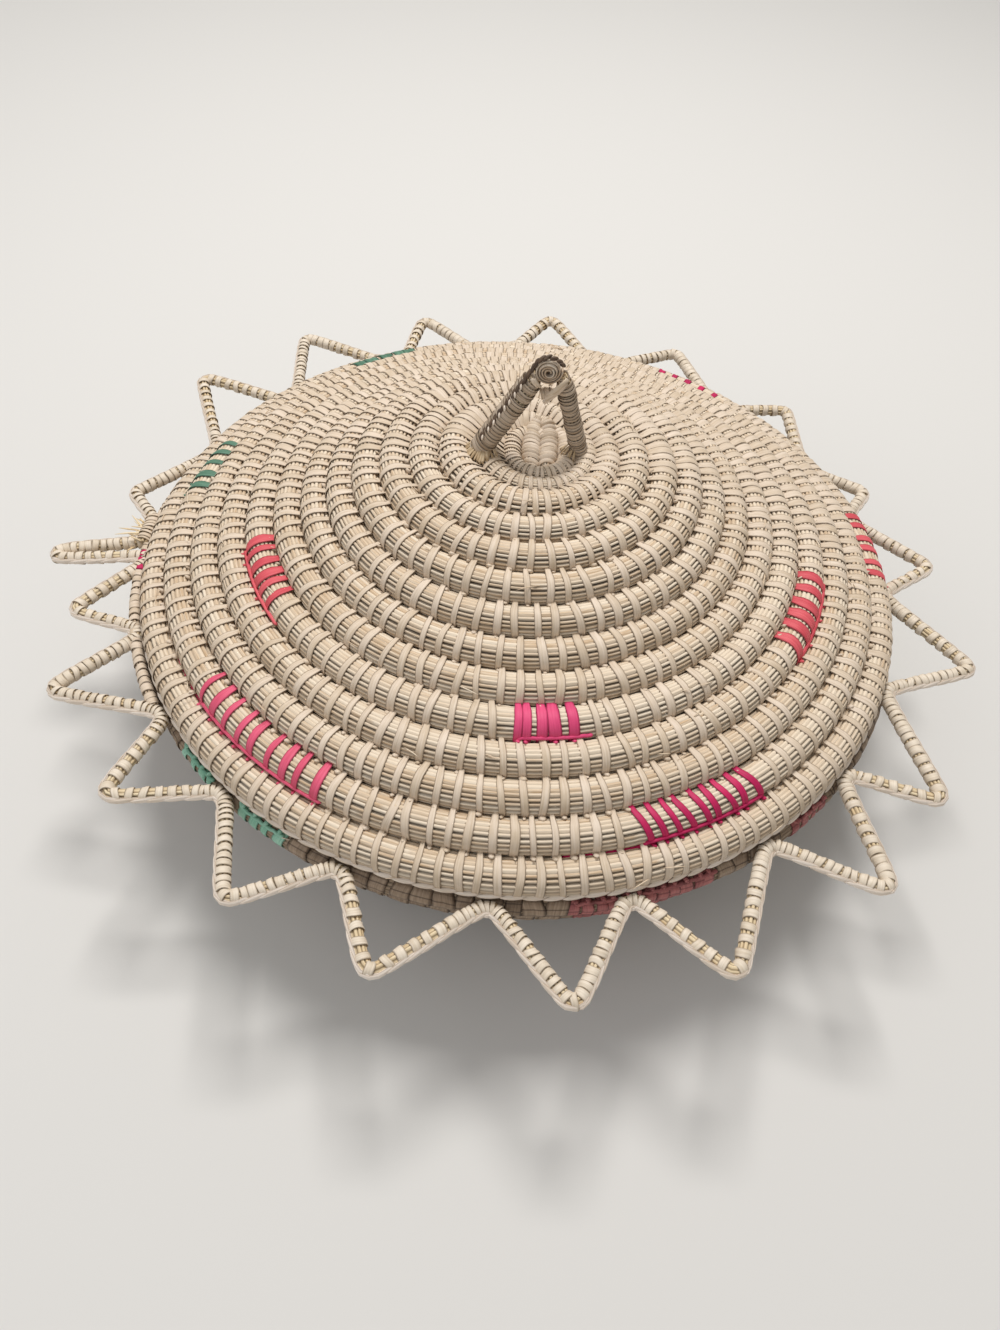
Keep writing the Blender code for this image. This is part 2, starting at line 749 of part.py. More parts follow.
def make_edging(seams, parts, finish):
    """Plaited edging up the left leg's outer side and over the crown roll."""
    foot, ankle, top = leg_axis(seams, "left")
    along = (top - ankle).normalized()
    outward = Vector((-along.z, 0.0, along.x)).normalized()
    beside = HANDLE_LEFT_LEG / 2 + HANDLE_EDGING / 2 + SEAT_GAP
    low = ankle + along * FOOT_STITCH_RISE + outward * beside
    high = top + along * HANDLE_EDGING / 2 + outward * beside
    places = [low, high]
    centre = roll_centre(seams)
    reach = CROWN_ROLL_WIDTH / 2 + HANDLE_EDGING / 2 + SEAT_GAP
    for index in range(6):
        angle = math.radians(blend(EDGING_START_DEG, EDGING_END_DEG, index / 5))
        places.append(centre + Vector((math.cos(angle), 0.0, math.sin(angle))) * reach)
    route = [(place, HANDLE_EDGING / 2) for place in places]
    return tube("handle_edging", route, parts, finish)


def make_tail(seams, parts, finish):
    """Short end of cord left standing under the crown roll, on the right leg's inner side."""
    foot, ankle, top = leg_axis(seams, "right")
    joint = blend(ankle, top, TAIL_HEIGHT_SHARE)
    inward = Vector((-1.0, 0.0, 0.0))
    start = joint + inward * (HANDLE_RIGHT_LEG / 2 + HANDLE_TAIL / 4 + SEAT_GAP)
    droop = Vector((-math.cos(math.radians(TAIL_DROOP_DEG)), 0.0,
                    -math.sin(math.radians(TAIL_DROOP_DEG))))
    route = [(start, HANDLE_TAIL / 2), (start + inward * HANDLE_TAIL_LENGTH / 2, HANDLE_TAIL / 2)]
    route.append((route[1][0] + droop * HANDLE_TAIL_LENGTH / 2, HANDLE_TAIL / 2))
    return tube("handle_tail", route, parts, finish)


def make_foot_stitches(name, seams, side, thickness, parts, finish):
    """Stitches that splay from a leg down to a strand laid round the front of its foot."""
    foot, ankle, top = leg_axis(seams, side)
    along = (top - ankle).normalized()
    beside = thickness / 2 + FOOT_STITCH / 2 + SEAT_GAP
    raised = Vector((0.0, 0.0, FOOT_STITCH))
    low_ends = []
    stitches = []
    for index in range(FOOT_STITCH_COUNT):
        turn = math.radians(blend(FOOT_STITCH_FIRST_DEG, FOOT_STITCH_LAST_DEG,
                                  index / (FOOT_STITCH_COUNT - 1)))
        out = Vector((math.cos(turn), math.sin(turn), 0.0))
        upper = ankle + along * FOOT_STITCH_RISE + out * beside * UPPER_STITCH_SHARE
        lower = foot + out * (beside + FOOT_STITCH_SPREAD) + raised
        low_ends.append(lower)
        stitches.append(tube(f"{name}_{index}", [(upper, FOOT_STITCH / 2), (lower, FOOT_STITCH / 2)],
                             parts, finish))
    strand = [(place, FOOT_STITCH * STRAND_SHARE) for place in low_ends]
    return united(name, tube(name, strand, parts, finish), stitches, finish)


# Dyed strips

def strip_bearings(radius, first_deg, last_deg):
    """Bearings of the strips in a group, an equal number on each straight of the coil."""
    straight = 2 * radius * math.sin(math.pi / POINTS_PER_LOOP)
    number = max(round(straight / STRIP_SPACING), 1)
    step = 360.0 / POINTS_PER_LOOP / number
    index = math.ceil(first_deg / step - 0.5)
    bearings = []
    while (index + 0.5) * step <= last_deg:
        bearings.append((index + 0.5) * step)
        index += 1
    return bearings


def dyed_strips(name, seams, number, first_deg, last_deg, parts, finish, facing):
    """Strips over one row, joined by their strand, which runs in the groove below the row.

    Facing is 1 on the lid and -1 on the base, whose outer side faces down its coil's slope.
    """
    outer = seams[-number]
    inner = seams[-number - 1]
    width = math.hypot(outer.radius - inner.radius, outer.z - inner.z)
    bearings = strip_bearings((outer.radius + inner.radius) / 2, first_deg, last_deg)
    strips = []
    for bearing in bearings:
        centre, radius, across, away = row_frame(seams, number, bearing)
        low = radius + SEAT_GAP
        outline = arc_outline(low, low + STRIP_THICKNESS, 90.0 - STRIP_HALF_WRAP_DEG,
                              90.0 + STRIP_HALF_WRAP_DEG, STRIP_ARC_STEPS)
        side, up = across * facing, away * facing
        matrix = axes_matrix(side, up, side.cross(up), centre)
        strips.append(strip_mesh(f"{name}_strip", outline, STRIP_WIDTH, matrix, parts))
    route = strand_route(seams, number, bearings, width, facing)
    return united(name, tube(name, route, parts, finish), strips, finish)


def strand_route(seams, number, bearings, width, facing):
    """The strand runs over the groove between two rows and is sunk a little into the strips."""
    step = 360.0 / POINTS_PER_LOOP
    first = bearings[0] - (bearings[1] - bearings[0]) * STRAND_END_SHARE
    last = bearings[-1] + (bearings[1] - bearings[0]) * STRAND_END_SHARE
    corners = [index * step for index in range(math.ceil(first / step), math.floor(last / step) + 1)]
    route = []
    for bearing in sorted([first, last] + corners):
        centre, radius, across, away = row_frame(seams, number, bearing)
        reach = radius + SEAT_GAP + STRIP_THICKNESS + STRAND_THICKNESS * STRAND_RISE_SHARE
        rise = math.sqrt(max(reach ** 2 - (width / 2) ** 2, 0.0))
        place = centre + (across * width / 2 + away * rise) * facing
        route.append((place, STRAND_THICKNESS / 2))
    return route


# Putting it together

def hang_on(pieces, axis_empty):
    for piece in pieces:
        piece.parent = axis_empty
        piece.matrix_parent_inverse = axis_empty.matrix_world.inverted()


def new_axis(name, place, collection):
    empty = bpy.data.objects.new(name, None)
    empty.location = place
    empty.empty_display_size = CUT_OVERRUN
    collection.objects.link(empty)
    bpy.context.view_layer.update()
    return empty


def build_base(seams, parts, cutters, finishes):
    make_base_coil(seams, parts, cutters, finishes["natural_coil"])
    make_border(seams, parts, finishes["natural_cord"])
    for name, number, first, last, colour in BASE_DYED_DEG:
        dyed_strips(name, seams, number, first, last, parts, finishes[colour], -1.0)


def build_handle(seams, parts, cutters, finishes):
    cord = finishes["natural_cord"]
    edge = finishes["plaited_edge"]
    tool = turned_roll("crown_roll_cutter", CROWN_ROLL_WIDTH / 2 + SEAT_GAP,
                       CROWN_ROLL_DEPTH + 2 * CUT_OVERRUN, roll_centre(seams), cutters)
    cutter(tool, cutters)
    pieces = [make_leg("handle_left_leg", seams, "left", HANDLE_LEFT_LEG, tool, parts, cord)]
    pieces.append(make_leg("handle_right_leg", seams, "right", HANDLE_RIGHT_LEG, tool, parts, cord))
    pieces.append(make_crown_roll(seams, parts, cord))
    pieces.append(make_edging(seams, parts, edge))
    pieces.append(make_tail(seams, parts, cord))
    pieces.append(make_foot_stitches("left_foot_stitches", seams, "left", HANDLE_LEFT_LEG,
                                     parts, edge))
    pieces.append(make_foot_stitches("right_foot_stitches", seams, "right", HANDLE_RIGHT_LEG,
                                     parts, edge))
    return pieces


def build_lid(seams, parts, cutters, finishes):
    pieces = [make_lid_coil(seams, parts, finishes["natural_coil"])]
    pieces.append(make_edge_braid(seams, parts, finishes["plaited_edge"]))
    pieces.append(make_locating_ring(seams, parts, finishes["hidden_ring"]))
    for name, number, first, last, colour in LID_DYED_DEG:
        pieces.append(dyed_strips(name, seams, number, first, last, parts, finishes[colour], 1.0))
    return pieces + build_handle(seams, parts, cutters, finishes)


def main():
    for old in list(bpy.data.objects):
        bpy.data.objects.remove(old)
    parts = new_collection("lidded_coiled_basket")
    cutters = new_collection("cutters")
    finishes = {name: make_finish(name) for name in FINISHES}
    lid = lid_seams()
    base = lifted(base_seams(outer_row(lid, 1)[0] + RIM_PAST_LID), floor_height())
    seat = lid_seat_height(base, lid)
    lid = lifted(lid, seat)
    build_base(base, parts, cutters, finishes)
    pieces = build_lid(lid, parts, cutters, finishes)
    lift_axis = new_axis("lid_lift_axis", (0.0, 0.0, lid[-1].z), parts)
    hang_on(pieces, lift_axis)
    print(f"lid edge at {lid[-1].z * 1000:.1f} mm, crown seam at {lid[1].z * 1000:.1f} mm, "
          f"lid radius {lid[-1].radius * 1000:.1f} mm, rim radius {base[-1].radius * 1000:.1f} mm")


main()
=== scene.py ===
from collections import namedtuple
from functools import partial
from math import cos, floor, hypot, pi, radians, sin

import bpy
import numpy as np
from mathutils import Matrix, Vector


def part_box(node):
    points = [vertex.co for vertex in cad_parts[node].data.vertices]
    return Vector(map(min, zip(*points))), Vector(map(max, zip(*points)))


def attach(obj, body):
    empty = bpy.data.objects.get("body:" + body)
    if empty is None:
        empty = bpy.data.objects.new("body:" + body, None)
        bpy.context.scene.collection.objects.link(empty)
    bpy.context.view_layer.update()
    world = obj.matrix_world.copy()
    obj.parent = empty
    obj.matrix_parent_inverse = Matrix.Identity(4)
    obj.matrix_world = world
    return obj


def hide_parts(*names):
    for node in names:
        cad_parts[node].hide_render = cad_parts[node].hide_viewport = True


# Looks of a lidded coiled basket.  Bundles of grass stems are wound into two coils, one for the
# base and one for the domed lid, and each row is sewn to the row before it with split palm strips.
# A stiff wrapped cord zigzags round the rim, and a wrapped A-shaped handle stands on the crown.
# All lengths are in metres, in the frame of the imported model.

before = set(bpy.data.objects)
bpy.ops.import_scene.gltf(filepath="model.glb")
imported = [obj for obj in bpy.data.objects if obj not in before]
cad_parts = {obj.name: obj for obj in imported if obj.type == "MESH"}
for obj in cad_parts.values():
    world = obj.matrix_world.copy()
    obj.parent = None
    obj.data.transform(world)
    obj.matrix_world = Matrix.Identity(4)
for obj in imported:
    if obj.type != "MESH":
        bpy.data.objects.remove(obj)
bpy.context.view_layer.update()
MM = 0.001
UP = np.array((0.0, 0.0, 1.0))

# What a piece is drawn for: the body that it rides on, its material slot and the solid's name
BASE_ROWS = ("base", "natural_coil", "base_coil")
LID_ROWS = ("lid", "natural_coil", "lid_coil")
BORDER = ("base", "natural_cord", "border_zigzag")
LID_EDGE = ("lid", "plaited_edge", "lid_edge_braid")
LID_RING = ("lid", "hidden_ring", "lid_locating_ring")
HANDLE_ROLL = ("lid", "natural_cord", "handle_crown_roll")
HANDLE_TAIL = ("lid", "natural_cord", "handle_tail")
HANDLE_EDGING = ("lid", "plaited_edge", "handle_edging")

# The camera stands before the basket and looks down on it, a little turned about its own axis
CAMERA_PLACE = (-0.0048, -0.3044, 0.3740)
CAMERA_DOWN_DEG = 50.5
CAMERA_ROLL_DEG = 4.42
CAMERA_LENS_MM = 27.745
CAMERA_SENSOR_MM = 36.0

# Coils: the lid's rows fall by these angles from the crown, the wall rises by these from the rim down
LID_CORE_ROW = 0.0070
LID_CORE_STRAIGHT = 0.0057
LID_CORE_X = 0.0038
LID_CORE_Y = 0.0028
LID_EYE_RADIUS = 0.0129
LID_FIRST_ROW = 0.0106
LID_LAST_ROW = 0.0128
LID_ROW_FALL_DEG = (-2.5, 3.0, 9.0, 18.0, 29.0, 33.0, 28.0, 24.0, 24.0, 25.0, 27.0, 32.0, 38.0)
BASE_ROW = 0.0112
BASE_CORE_ROW = 0.0086
BASE_CORE_STRAIGHT = 0.0040
WALL_RISE_DEG = (73.0, 66.0, 62.0, 58.0, 52.0, 43.0, 30.0, 15.0, 5.0)
RIM_PAST_LID = 0.0028
# In every turn the coil steps out by one row between two bearings
CORE_STEP_DEG = (15.0, 105.0)
LATER_STEP_DEG = (66.0, 112.0)
STEP_SETTLES_ROWS = 12
LEAST_ROW_SHARE = 0.14
TAIL_TUCK_SHARE = 0.12
CORE_FROM_DEG = -540.0
FINE_STEP_DEG = 1.5
PATH_STEP = 0.001
# A row of the solid model has six sides; its flat side lies this share of its radius out
SOLID_FILL_SHARE = 0.92
FLAT_SIDE_SHARE = cos(pi / 6)
FLAT_CUT_SHARE = 0.1

# The lid's first two bundles, and where the row round them begins
CORE_RING_FROM_DEG = -318.0
CORE_LENGTH = 0.0275
CORE_BACK_SHIFT = 0.0043
CORE_RISE = 0.0008
CORE_BACK_RISE = 0.0036
CORE_BACK_NARROWS = 0.42
CORE_WRAP_SPACING = 0.0018
CORE_WRAP_WIDTHS = (0.0014, 0.0018)
CORE_WRAP_LEANS = (0.0008, 0.0018)
CORE_WRAP_TILT = 0.00045

# Bundles of stems: they wander and swell, and each strip draws them in to a waist
STEM_WIDTH = 0.0017
FEWEST_STEMS = 8
STEM_GROOVE_SHARE = 0.38
STEM_CREST_SHARE = 0.23
# Painted shade on each stem's lower flank: the slope over which it sets in, and its strength
STEM_UNDER_SIDE = 0.03
STEM_UNDER_SHADE = 0.4
STEM_RUN = 0.09
STEM_WANDER_RUN = 0.045
STEM_WANDER_SHARE = 0.14
STEM_UNEVEN_SHARE = 0.025
BUNDLE_TWIST_PER_M = 1.4
WAIST_SHARE = 0.03
WAIST_WIDTH = 0.2
PRESSED_GAP = 0.00005
PRESSED_ROOM = 0.0028
PRESSED_EXCESS = 0.0020
FLOOR_EXCESS = 0.0028
LID_SEAT_GAP = 0.00015
# The most rings or strips in one piece
PIECE_RINGS = 1000
BORDER_PIECE_RINGS = 1300
PIECE_STRIPS = 650

# Sewing strips: size, spacing and how they go round a row
STRIP_THICKNESS = 0.00032
STRIP_WIDTH = 0.0028
STRIP_SPACING = 0.0067
CORE_STRIP_WIDTH = 0.0017
CORE_STRIP_SPACING = 0.0019
# The lid's strips lie closer on the crown, at the sides and at the back than at the front
LID_STRIP_ROWS = (1.0, 2.2, 3.2, 4.5, 9.0)
FRONT_SPACING = (0.0037, 0.0041, 0.0058, 0.0067, 0.0067)
FRONT_WIDTH = (0.0022, 0.0024, 0.0026, 0.0028, 0.0028)
SIDE_SPACING = (0.0031, 0.0033, 0.0035, 0.0038, 0.0048)
SIDE_WIDTH = (0.0028, 0.0030, 0.0031, 0.0033, 0.0038)
WALL_STRIP_WIDTH = 0.0070
WALL_STRIP_SPACING = 0.0072
WALL_DIVE_SHARE = 0.45
STRIP_DIVE = 0.0016
STRIP_DIVES_FROM = 0.74
STRIP_NARROWS_SHARE = 0.3
STRIP_LEAN = 0.0009
STRIP_TILT = 0.00012
CORD_WRAP_TILT = 0.00022
STRIP_STEPS = 20
# Bumps where strips are sewn down, placed by turn and share of the row's radius; dyed strands
SEAM_BUMP = 0.00105
SEAM_BUMPS_FROM_ROW = 1.5
SEAM_BUMP_ASKEW = 0.0006
SEAM_BUMP_TURNS_DEG = np.array((12.0, 20.0, 29.0))
SEAM_BUMP_REACHES = np.array((1.0, 1.14, 1.34))
DYED_BUMP = 0.0009
DYED_STRAND = 0.0008
STRAND_TURNS_DEG = (8.0, 34.0)
STRAND_REACH_SHARE = 1.05
STRAND_SWAY = 0.0002
STRAND_SWAYS_PER_M = 1900.0

# Border: where the cord bends at the rim and where its points lie, anticlockwise from +X
BORDER_CORD = 0.0052
BORDER_ABOVE_RIM_DEG = 30.0
BORDER_TURN = 0.0032
BORDER_TURN_DEG = 70.0
BORDER_REACH = 0.0364
BORDER_RUN = 0.0056
BORDER_BENDS_DEG = (-176.0, -161.0, -145.0, -129.0, -110.0, -91.0, -73.5, -53.5, -37.0, -19.5,
                    0.5, 18.0, 32.0, 53.0, 77.5, 97.5, 116.0, 138.0, 157.0)
BORDER_POINTS_DEG = (-176.7, -167.0, -154.5, -138.0, -119.0, -102.0, -82.0, -65.5, -46.0, -32.0, -11.0,
                     7.0, 23.5, 44.5, 66.0, 87.5, 108.0, 127.0, 144.5, 170.0)
BORDER_POINT_SHARES = (1.08, 0.72, 0.96, 0.86, 0.78, 0.84, 0.92, 0.94, 1.0, 0.9, 0.9,
                       0.7, 0.5, 0.72, 0.86, 1.04, 1.0, 1.16, 1.22, 0.56)
BORDER_START_DEG = -181.2
BORDER_JOIN_GAP = 0.0040
RIM_TAIL_END_DEG = 88.0
SEAT_GAP = 0.0003
# Wraps of the cord: close at the rim, wide on the arms, with windows that show the stems
BORDER_BAND_WIDTH = 0.0031
BORDER_BAND_SPACING = 0.0050
BORDER_CLOSE_SPACING = 0.0019
BORDER_ARM_SPACING = 0.0029
BORDER_ARM_FROM_RIM = 0.007
BORDER_ARM_EASES_IN = 0.006
BORDER_WRAP_LEAN = 0.0005
BORDER_WRAP_TILT = 0.00016
BORDER_WINDOWS_PER_M = 40.0
BORDER_WINDOWS_FROM = -2.2
JOIN_BINDING = 0.0084
JOIN_RUNS_ON = 0.006
JOIN_WRAP_WIDTHS = (0.0015, 0.0026)
JOIN_WRAP_LEAN = 0.0012
JOIN_WRAP_TILT = 0.0002
FRAYED_ENDS = 26
FRAYED_END = 0.0005
FRAYED_SPREAD = 0.002
FRAYED_RUN = (-0.007, 0.012)
FRAYED_LENGTHS = (0.005, 0.012)
RIM_BINDING = 0.0043
RIM_BINDING_DEG = (152.0, 214.0)
RIM_MAGENTA_DEG = (184.2, 2.0)
RIM_STRIP_SPACING = 0.0036
RIM_STRIP_WIDTHS = (0.0033, 0.0041)
RIM_STRIP_LEAN = 0.0006

# Chains of overlapping leaves: one leaf, its spacing, how it slants and faces, how far it lies from
# the line that it follows, and the share of a spacing before the first
Chain = namedtuple("Chain", "length width thick spacing slant_deg face_deg reach first", defaults=(0.5,))
BORDER_CHAIN = Chain(0.0120, 0.0024, 0.0014, 0.0062, 2.6, 10.0, BORDER_CORD / 2 - 0.0001)
LID_CHAIN = Chain(0.0120, 0.0024, 0.0014, 0.0070, 8.0, 52.0, 0.0005)
EDGING_LOOPS = Chain(0.0034, 0.0017, 0.0011, 0.0023, 24.0, 48.0, 0.0002)
EDGING_KNOTS = Chain(0.0017, 0.0010, 0.0010, 0.0034, 24.0, 12.0, 0.0014, 0.6)
LID_CHAIN_END_DEG = 366.0
RING_THICKNESS = 0.0060
RING_SECTOR_DEG = (121.0, 419.0)
RING_STRIP_WIDTHS = (0.0020, 0.0032)
RING_STRIP_LEAN = 0.0008

# Handle: each leg's foot from above, its upper end as shares of the roll's radius, its thickness, how
# its wraps lean and reach, and the first, last and number of the strands at its foot
Leg = namedtuple("Leg", "side foot flank thick lean share strands")
LEFT = Leg("left", (-0.0178, -0.0040), (-0.94, -0.8), 0.0074, -0.0020, 1.02, (-200.0, -25.0, 19))
RIGHT = Leg("right", (0.0180, 0.0014), (1.1, -0.8), 0.0064, 0.0010, 0.88, (-190.0, -110.0, 7))
ANKLE_SHARE = 0.25
LEG_STRIP_WIDTH = 0.0017
LEG_STRIP_SPACING = 0.0013
LEG_RUNS_IN = 0.0030
LEG_RUNS_DOWN = 0.0024
LEG_NARROWS_SHARE = 0.5
EDGING_FROM_FOOT = 0.0034
EDGING_ARC_DEG = (140.0, 15.0)
ROLL_TURNS = 4
ROLL_STRIP = 0.00072
TAIL_THICKNESS = 0.0040
TAIL_WRAP_SPACING = 0.0016
TAIL_WRAP_WIDTH = 0.0019
TAIL_WRAP_LEAN = 0.0004
TAIL_BANDS = (0.0004, 0.00045, 0.0004, 0.0003, 0.0003)
FOOT_STRAND = 0.00050
FOOT_RISE = 0.0016
FOOT_SPREAD = 0.0030
FOOT_BOW = 0.0006
FOOT_DROP = 0.0003
FOOT_TUCK = 0.0009
SPLINTER = 0.00022
SPLINTER_LENGTHS = (0.003, 0.009)
SPLINTER_LIFTS = (0.0003, 0.0012)

rng = np.random.default_rng(11)


# Routes

Coil = namedtuple("Coil", "row straight seams")
Path = namedtuple("Path", "length centre across away along half row bearing phase")


def ease(share):
    share = np.clip(share, 0.0, 1.0)
    return share * share * (3.0 - 2.0 * share)


def blend(start, end, share):
    return start + (end - start) * share


def unit(vectors):
    return vectors / np.linalg.norm(vectors, axis=-1, keepdims=True)


def slope(angle_deg, length):
    """Run and rise of a length laid at an angle to the horizontal."""
    angle = radians(angle_deg)
    return length * cos(angle), length * sin(angle)


def on_circle(radius, bearing_deg, height):
    return np.array((*slope(bearing_deg, radius), height))


def lid_coil():
    """Seams between the lid's rows from the crown out, each as x, y, radius and height."""
    seams = [(LID_CORE_X, LID_CORE_Y, 0.0, 0.0)] * 2
    radius, height = LID_EYE_RADIUS, 0.0
    for index, fall in enumerate(LID_ROW_FALL_DEG):
        run, drop = slope(fall, blend(LID_FIRST_ROW, LID_LAST_ROW, index / (len(LID_ROW_FALL_DEG) - 1)))
        radius, height = radius + run, height - drop
        drift = 0.5 if index == 0 else 0.0
        seams.append((LID_CORE_X * drift, LID_CORE_Y * drift, radius, height))
    seams = np.array(seams)
    edge_reach = LID_LAST_ROW * SOLID_FILL_SHARE / 2 * FLAT_SIDE_SHARE
    seams[:, 3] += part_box("lid_coil")[0].z + edge_reach - (seams[-1, 3] + seams[-2, 3]) / 2
    return Coil(LID_CORE_ROW, LID_CORE_STRAIGHT, seams)


def base_coil(rim_radius):
    """Seams between the base's rows, from the middle of the floor out and up the wall."""
    run, climb = slope(WALL_RISE_DEG[0], BASE_ROW / 2)
    wall = [(rim_radius + run, climb)]
    for rise in WALL_RISE_DEG:
        run, climb = slope(rise, BASE_ROW)
        wall.append((wall[-1][0] - run, wall[-1][1] - climb))
    flat_radius, flat_height = wall[-1]
    first = 2.25 * BASE_CORE_ROW + 0.75 * BASE_ROW
    flat_rows = round((flat_radius - first) / BASE_ROW)
    seams = [(BASE_CORE_ROW / 2, 0.0, 0.0, 0.0)] * 2 + [(BASE_CORE_ROW / 4, 0.0, first, 0.0)]
    seams += [(0.0, 0.0, blend(first, flat_radius, index / flat_rows), 0.0)
              for index in range(1, flat_rows)]
    seams += [(0.0, 0.0, radius, height - flat_height) for radius, height in reversed(wall)]
    seams = np.array(seams)
    thickness = BASE_ROW * SOLID_FILL_SHARE
    seams[:, 3] += thickness / 2 * FLAT_SIDE_SHARE - thickness * FLAT_CUT_SHARE
    return Coil(BASE_CORE_ROW, BASE_CORE_STRAIGHT, seams)


def seam_points(coil, index, bearing_deg):
    """Points of the numbered seams; the first two run round the core's two bundles."""
    angle = np.radians(bearing_deg)
    x, y, radius, z = coil.seams[index].T
    front = np.sin(angle) < 0.0
    turns = index + 1
    half = coil.straight / 2
    start = half * (2 - turns)
    side = np.where(np.cos(angle) < 0.0, 1.5, turns + 0.5) * coil.row
    wide = np.where(front, turns * coil.row, side)
    deep = np.where(front, turns * coil.row, half + 1.5 * coil.row - start)
    core_x = x - np.where(front, 0.0, coil.row / 2) + wide * np.cos(angle)
    core_y = y + np.where(front, -half, start) + deep * np.sin(angle)
    return np.stack([np.where(index < 2, core_x, x + radius * np.cos(angle)),
                     np.where(index < 2, core_y, y + radius * np.sin(angle)), z], 1)


def seam_place(coil, number, bearing_deg):
    low = np.minimum(number.astype(int), len(coil.seams) - 2)
    near, far = (seam_points(coil, index, bearing_deg) for index in (low, low + 1))
    return blend(near, far, (number - low)[:, None])


def row_number(bearing_deg):
    """Which seam lies inside the coil at a bearing, counted through all its turns."""
    whole = np.floor((bearing_deg - CORE_STEP_DEG[0]) / 360.0)
    settled = np.clip(whole / STEP_SETTLES_ROWS, 0.0, 1.0)
    start, end = (blend(early, late, settled) for early, late in zip(CORE_STEP_DEG, LATER_STEP_DEG))
    return whole + ease((bearing_deg - 360.0 * whole - start) / (end - start))


def core_points(coil):
    """The core's two bundles and the turns round them, with the direction outwards."""
    x, y, _, z = coil.seams[0]
    front = (x, y - coil.straight / 2)
    back = (x - coil.row / 2, y + coil.straight / 2)
    arcs = ((back, 0.0, 180.0, 180.0), (front, 0.5, 180.0, 360.0), (back, 1.0, 0.0, 180.0),
            (front, 1.5, 180.0, 360.0))
    places, outward = [], []
    for middle, rows, first, last in arcs:
        for bearing in np.linspace(first, last, 1 if first == last else 24):
            outward.append(on_circle(1.0, bearing, 0.0))
            places.append(np.array((*middle, z)) + outward[-1] * rows * coil.row)
    return np.array(places), np.array(outward)


def coil_path(coil):
    """The whole coil from its first bundle to its tail."""
    last = len(coil.seams) - 1
    bearing = np.arange(CORE_STEP_DEG[0], CORE_STEP_DEG[0] + 360.0 * (last + 1), FINE_STEP_DEG)
    inner = row_number(bearing)
    outer = row_number(bearing + 360.0)
    outer = np.where(outer > last, last - TAIL_TUCK_SHARE * ease(outer - last), outer)
    kept = outer - inner > LEAST_ROW_SHARE
    bearing, inner, outer = bearing[kept], inner[kept], outer[kept]
    near, far = (seam_place(coil, number, bearing) for number in (inner, outer))
    core, outward = core_points(coil)
    centre = np.concatenate([core, (near + far) / 2])
    across = np.concatenate([outward, unit(far - near)])
    half = np.concatenate([np.full(len(core), coil.row / 2), np.linalg.norm(far - near, axis=1) / 2])
    number = np.concatenate([np.zeros(len(core)), inner])
    bearings = np.concatenate([np.linspace(CORE_FROM_DEG, bearing[0] - 1.0, len(core)), bearing])
    return even_path(centre, across, half, number, bearings)


def even_path(centre, across, half, row, bearing, step=PATH_STEP):
    """A path with a point every step of its length, and its three directions."""
    length = np.concatenate([[0.0], np.cumsum(np.linalg.norm(np.diff(centre, axis=0), axis=1))])
    even = np.arange(0.0, length[-1], step)

    def spread(values):
        return np.stack([np.interp(even, length, column) for column in np.atleast_2d(values.T)], 1)

    centre = spread(centre)
    along = unit(np.gradient(centre, axis=0))
    across = spread(across)
    across = unit(across - along * np.sum(across * along, 1, keepdims=True))
    half, row, bearing = (spread(values)[:, 0] for values in (half, row, bearing))
    return Path(even, centre, across, np.cross(across, along), along, half, row, bearing, even)


def part_of(path, kept):
    """The points of a path that are kept."""
    return Path(*(values[kept] for values in path))


def sewn(path, spacing):
    """The path with the number of strips passed at each of its points as its phase."""
    return path._replace(phase=np.cumsum(np.diff(path.length, prepend=0.0) / spacing))


def strip_places(path, uneven=0.12):
    """Where along a path its strips lie, a little uneven as handwork is."""
    phases = np.arange(0.5, floor(path.phase[-1]))
    phases = phases + rng.uniform(-uneven, uneven, len(phases))
    return np.interp(phases, path.phase, path.length)


def row_place(path, coil, number, bearing_deg):
    """How far along a coil a bearing in a row lies; rows count from the outermost in."""
    total = bearing_deg + 360.0 * (len(coil.seams) - 1 - number)
    return np.interp(total, path.bearing, path.length)


def at(path, places, names):
    """The named values of a path at these distances along it."""
    found = []
    for values in (getattr(path, name) for name in names.split()):
        columns = [np.interp(places, path.length, column) for column in np.atleast_2d(values.T)]
        found.append(np.stack(columns, -1) if values.ndim > 1 else columns[0])
    return found if len(found) > 1 else found[0]


def smooth(points, times):
    """Cuts the corners of a route off again and again."""
    for _ in range(times):
        near, far = (blend(points[:-1], points[1:], share) for share in (0.25, 0.75))
        inner = np.stack([near, far], 1).reshape(-1, 3)
        points = np.concatenate([points[:1], inner[1:-1], points[-1:]])
    return points


def cord_path(points, thickness, step=0.0008):
    """Path of a cord; its side is level and to the right of its run."""
    points = np.asarray(points, float)
    across = unit(np.cross(unit(np.gradient(points, axis=0)), UP))
    flat = np.zeros(len(points))
    return even_path(points, across, flat + thickness / 2, flat, flat, step)


# Meshes

def closed_loops(count, around, across):
    """Quads of bands closed round their loop and across their section."""
    index = np.arange(count * around * across).reshape(count, around, across)
    ahead = np.roll(index, -1, 1)
    beside = np.roll(index, -1, 2)
    return np.stack([index, beside, np.roll(ahead, -1, 2), ahead], -1).reshape(-1, 4).tolist()


def tube_faces(count, rings, around, first=0, turned=False):
    """Quads and caps of tubes; turned where the points run the other way round."""
    index = np.arange(count * rings * around).reshape(count, rings, around) + first
    index = index[..., ::-1] if turned else index
    ahead = np.roll(index, -1, 2)
    sides = np.stack([index[:, :-1], index[:, 1:], ahead[:, 1:], ahead[:, :-1]], -1).reshape(-1, 4)
    return sides.tolist() + index[:, 0].tolist() + index[:, -1, ::-1].tolist()


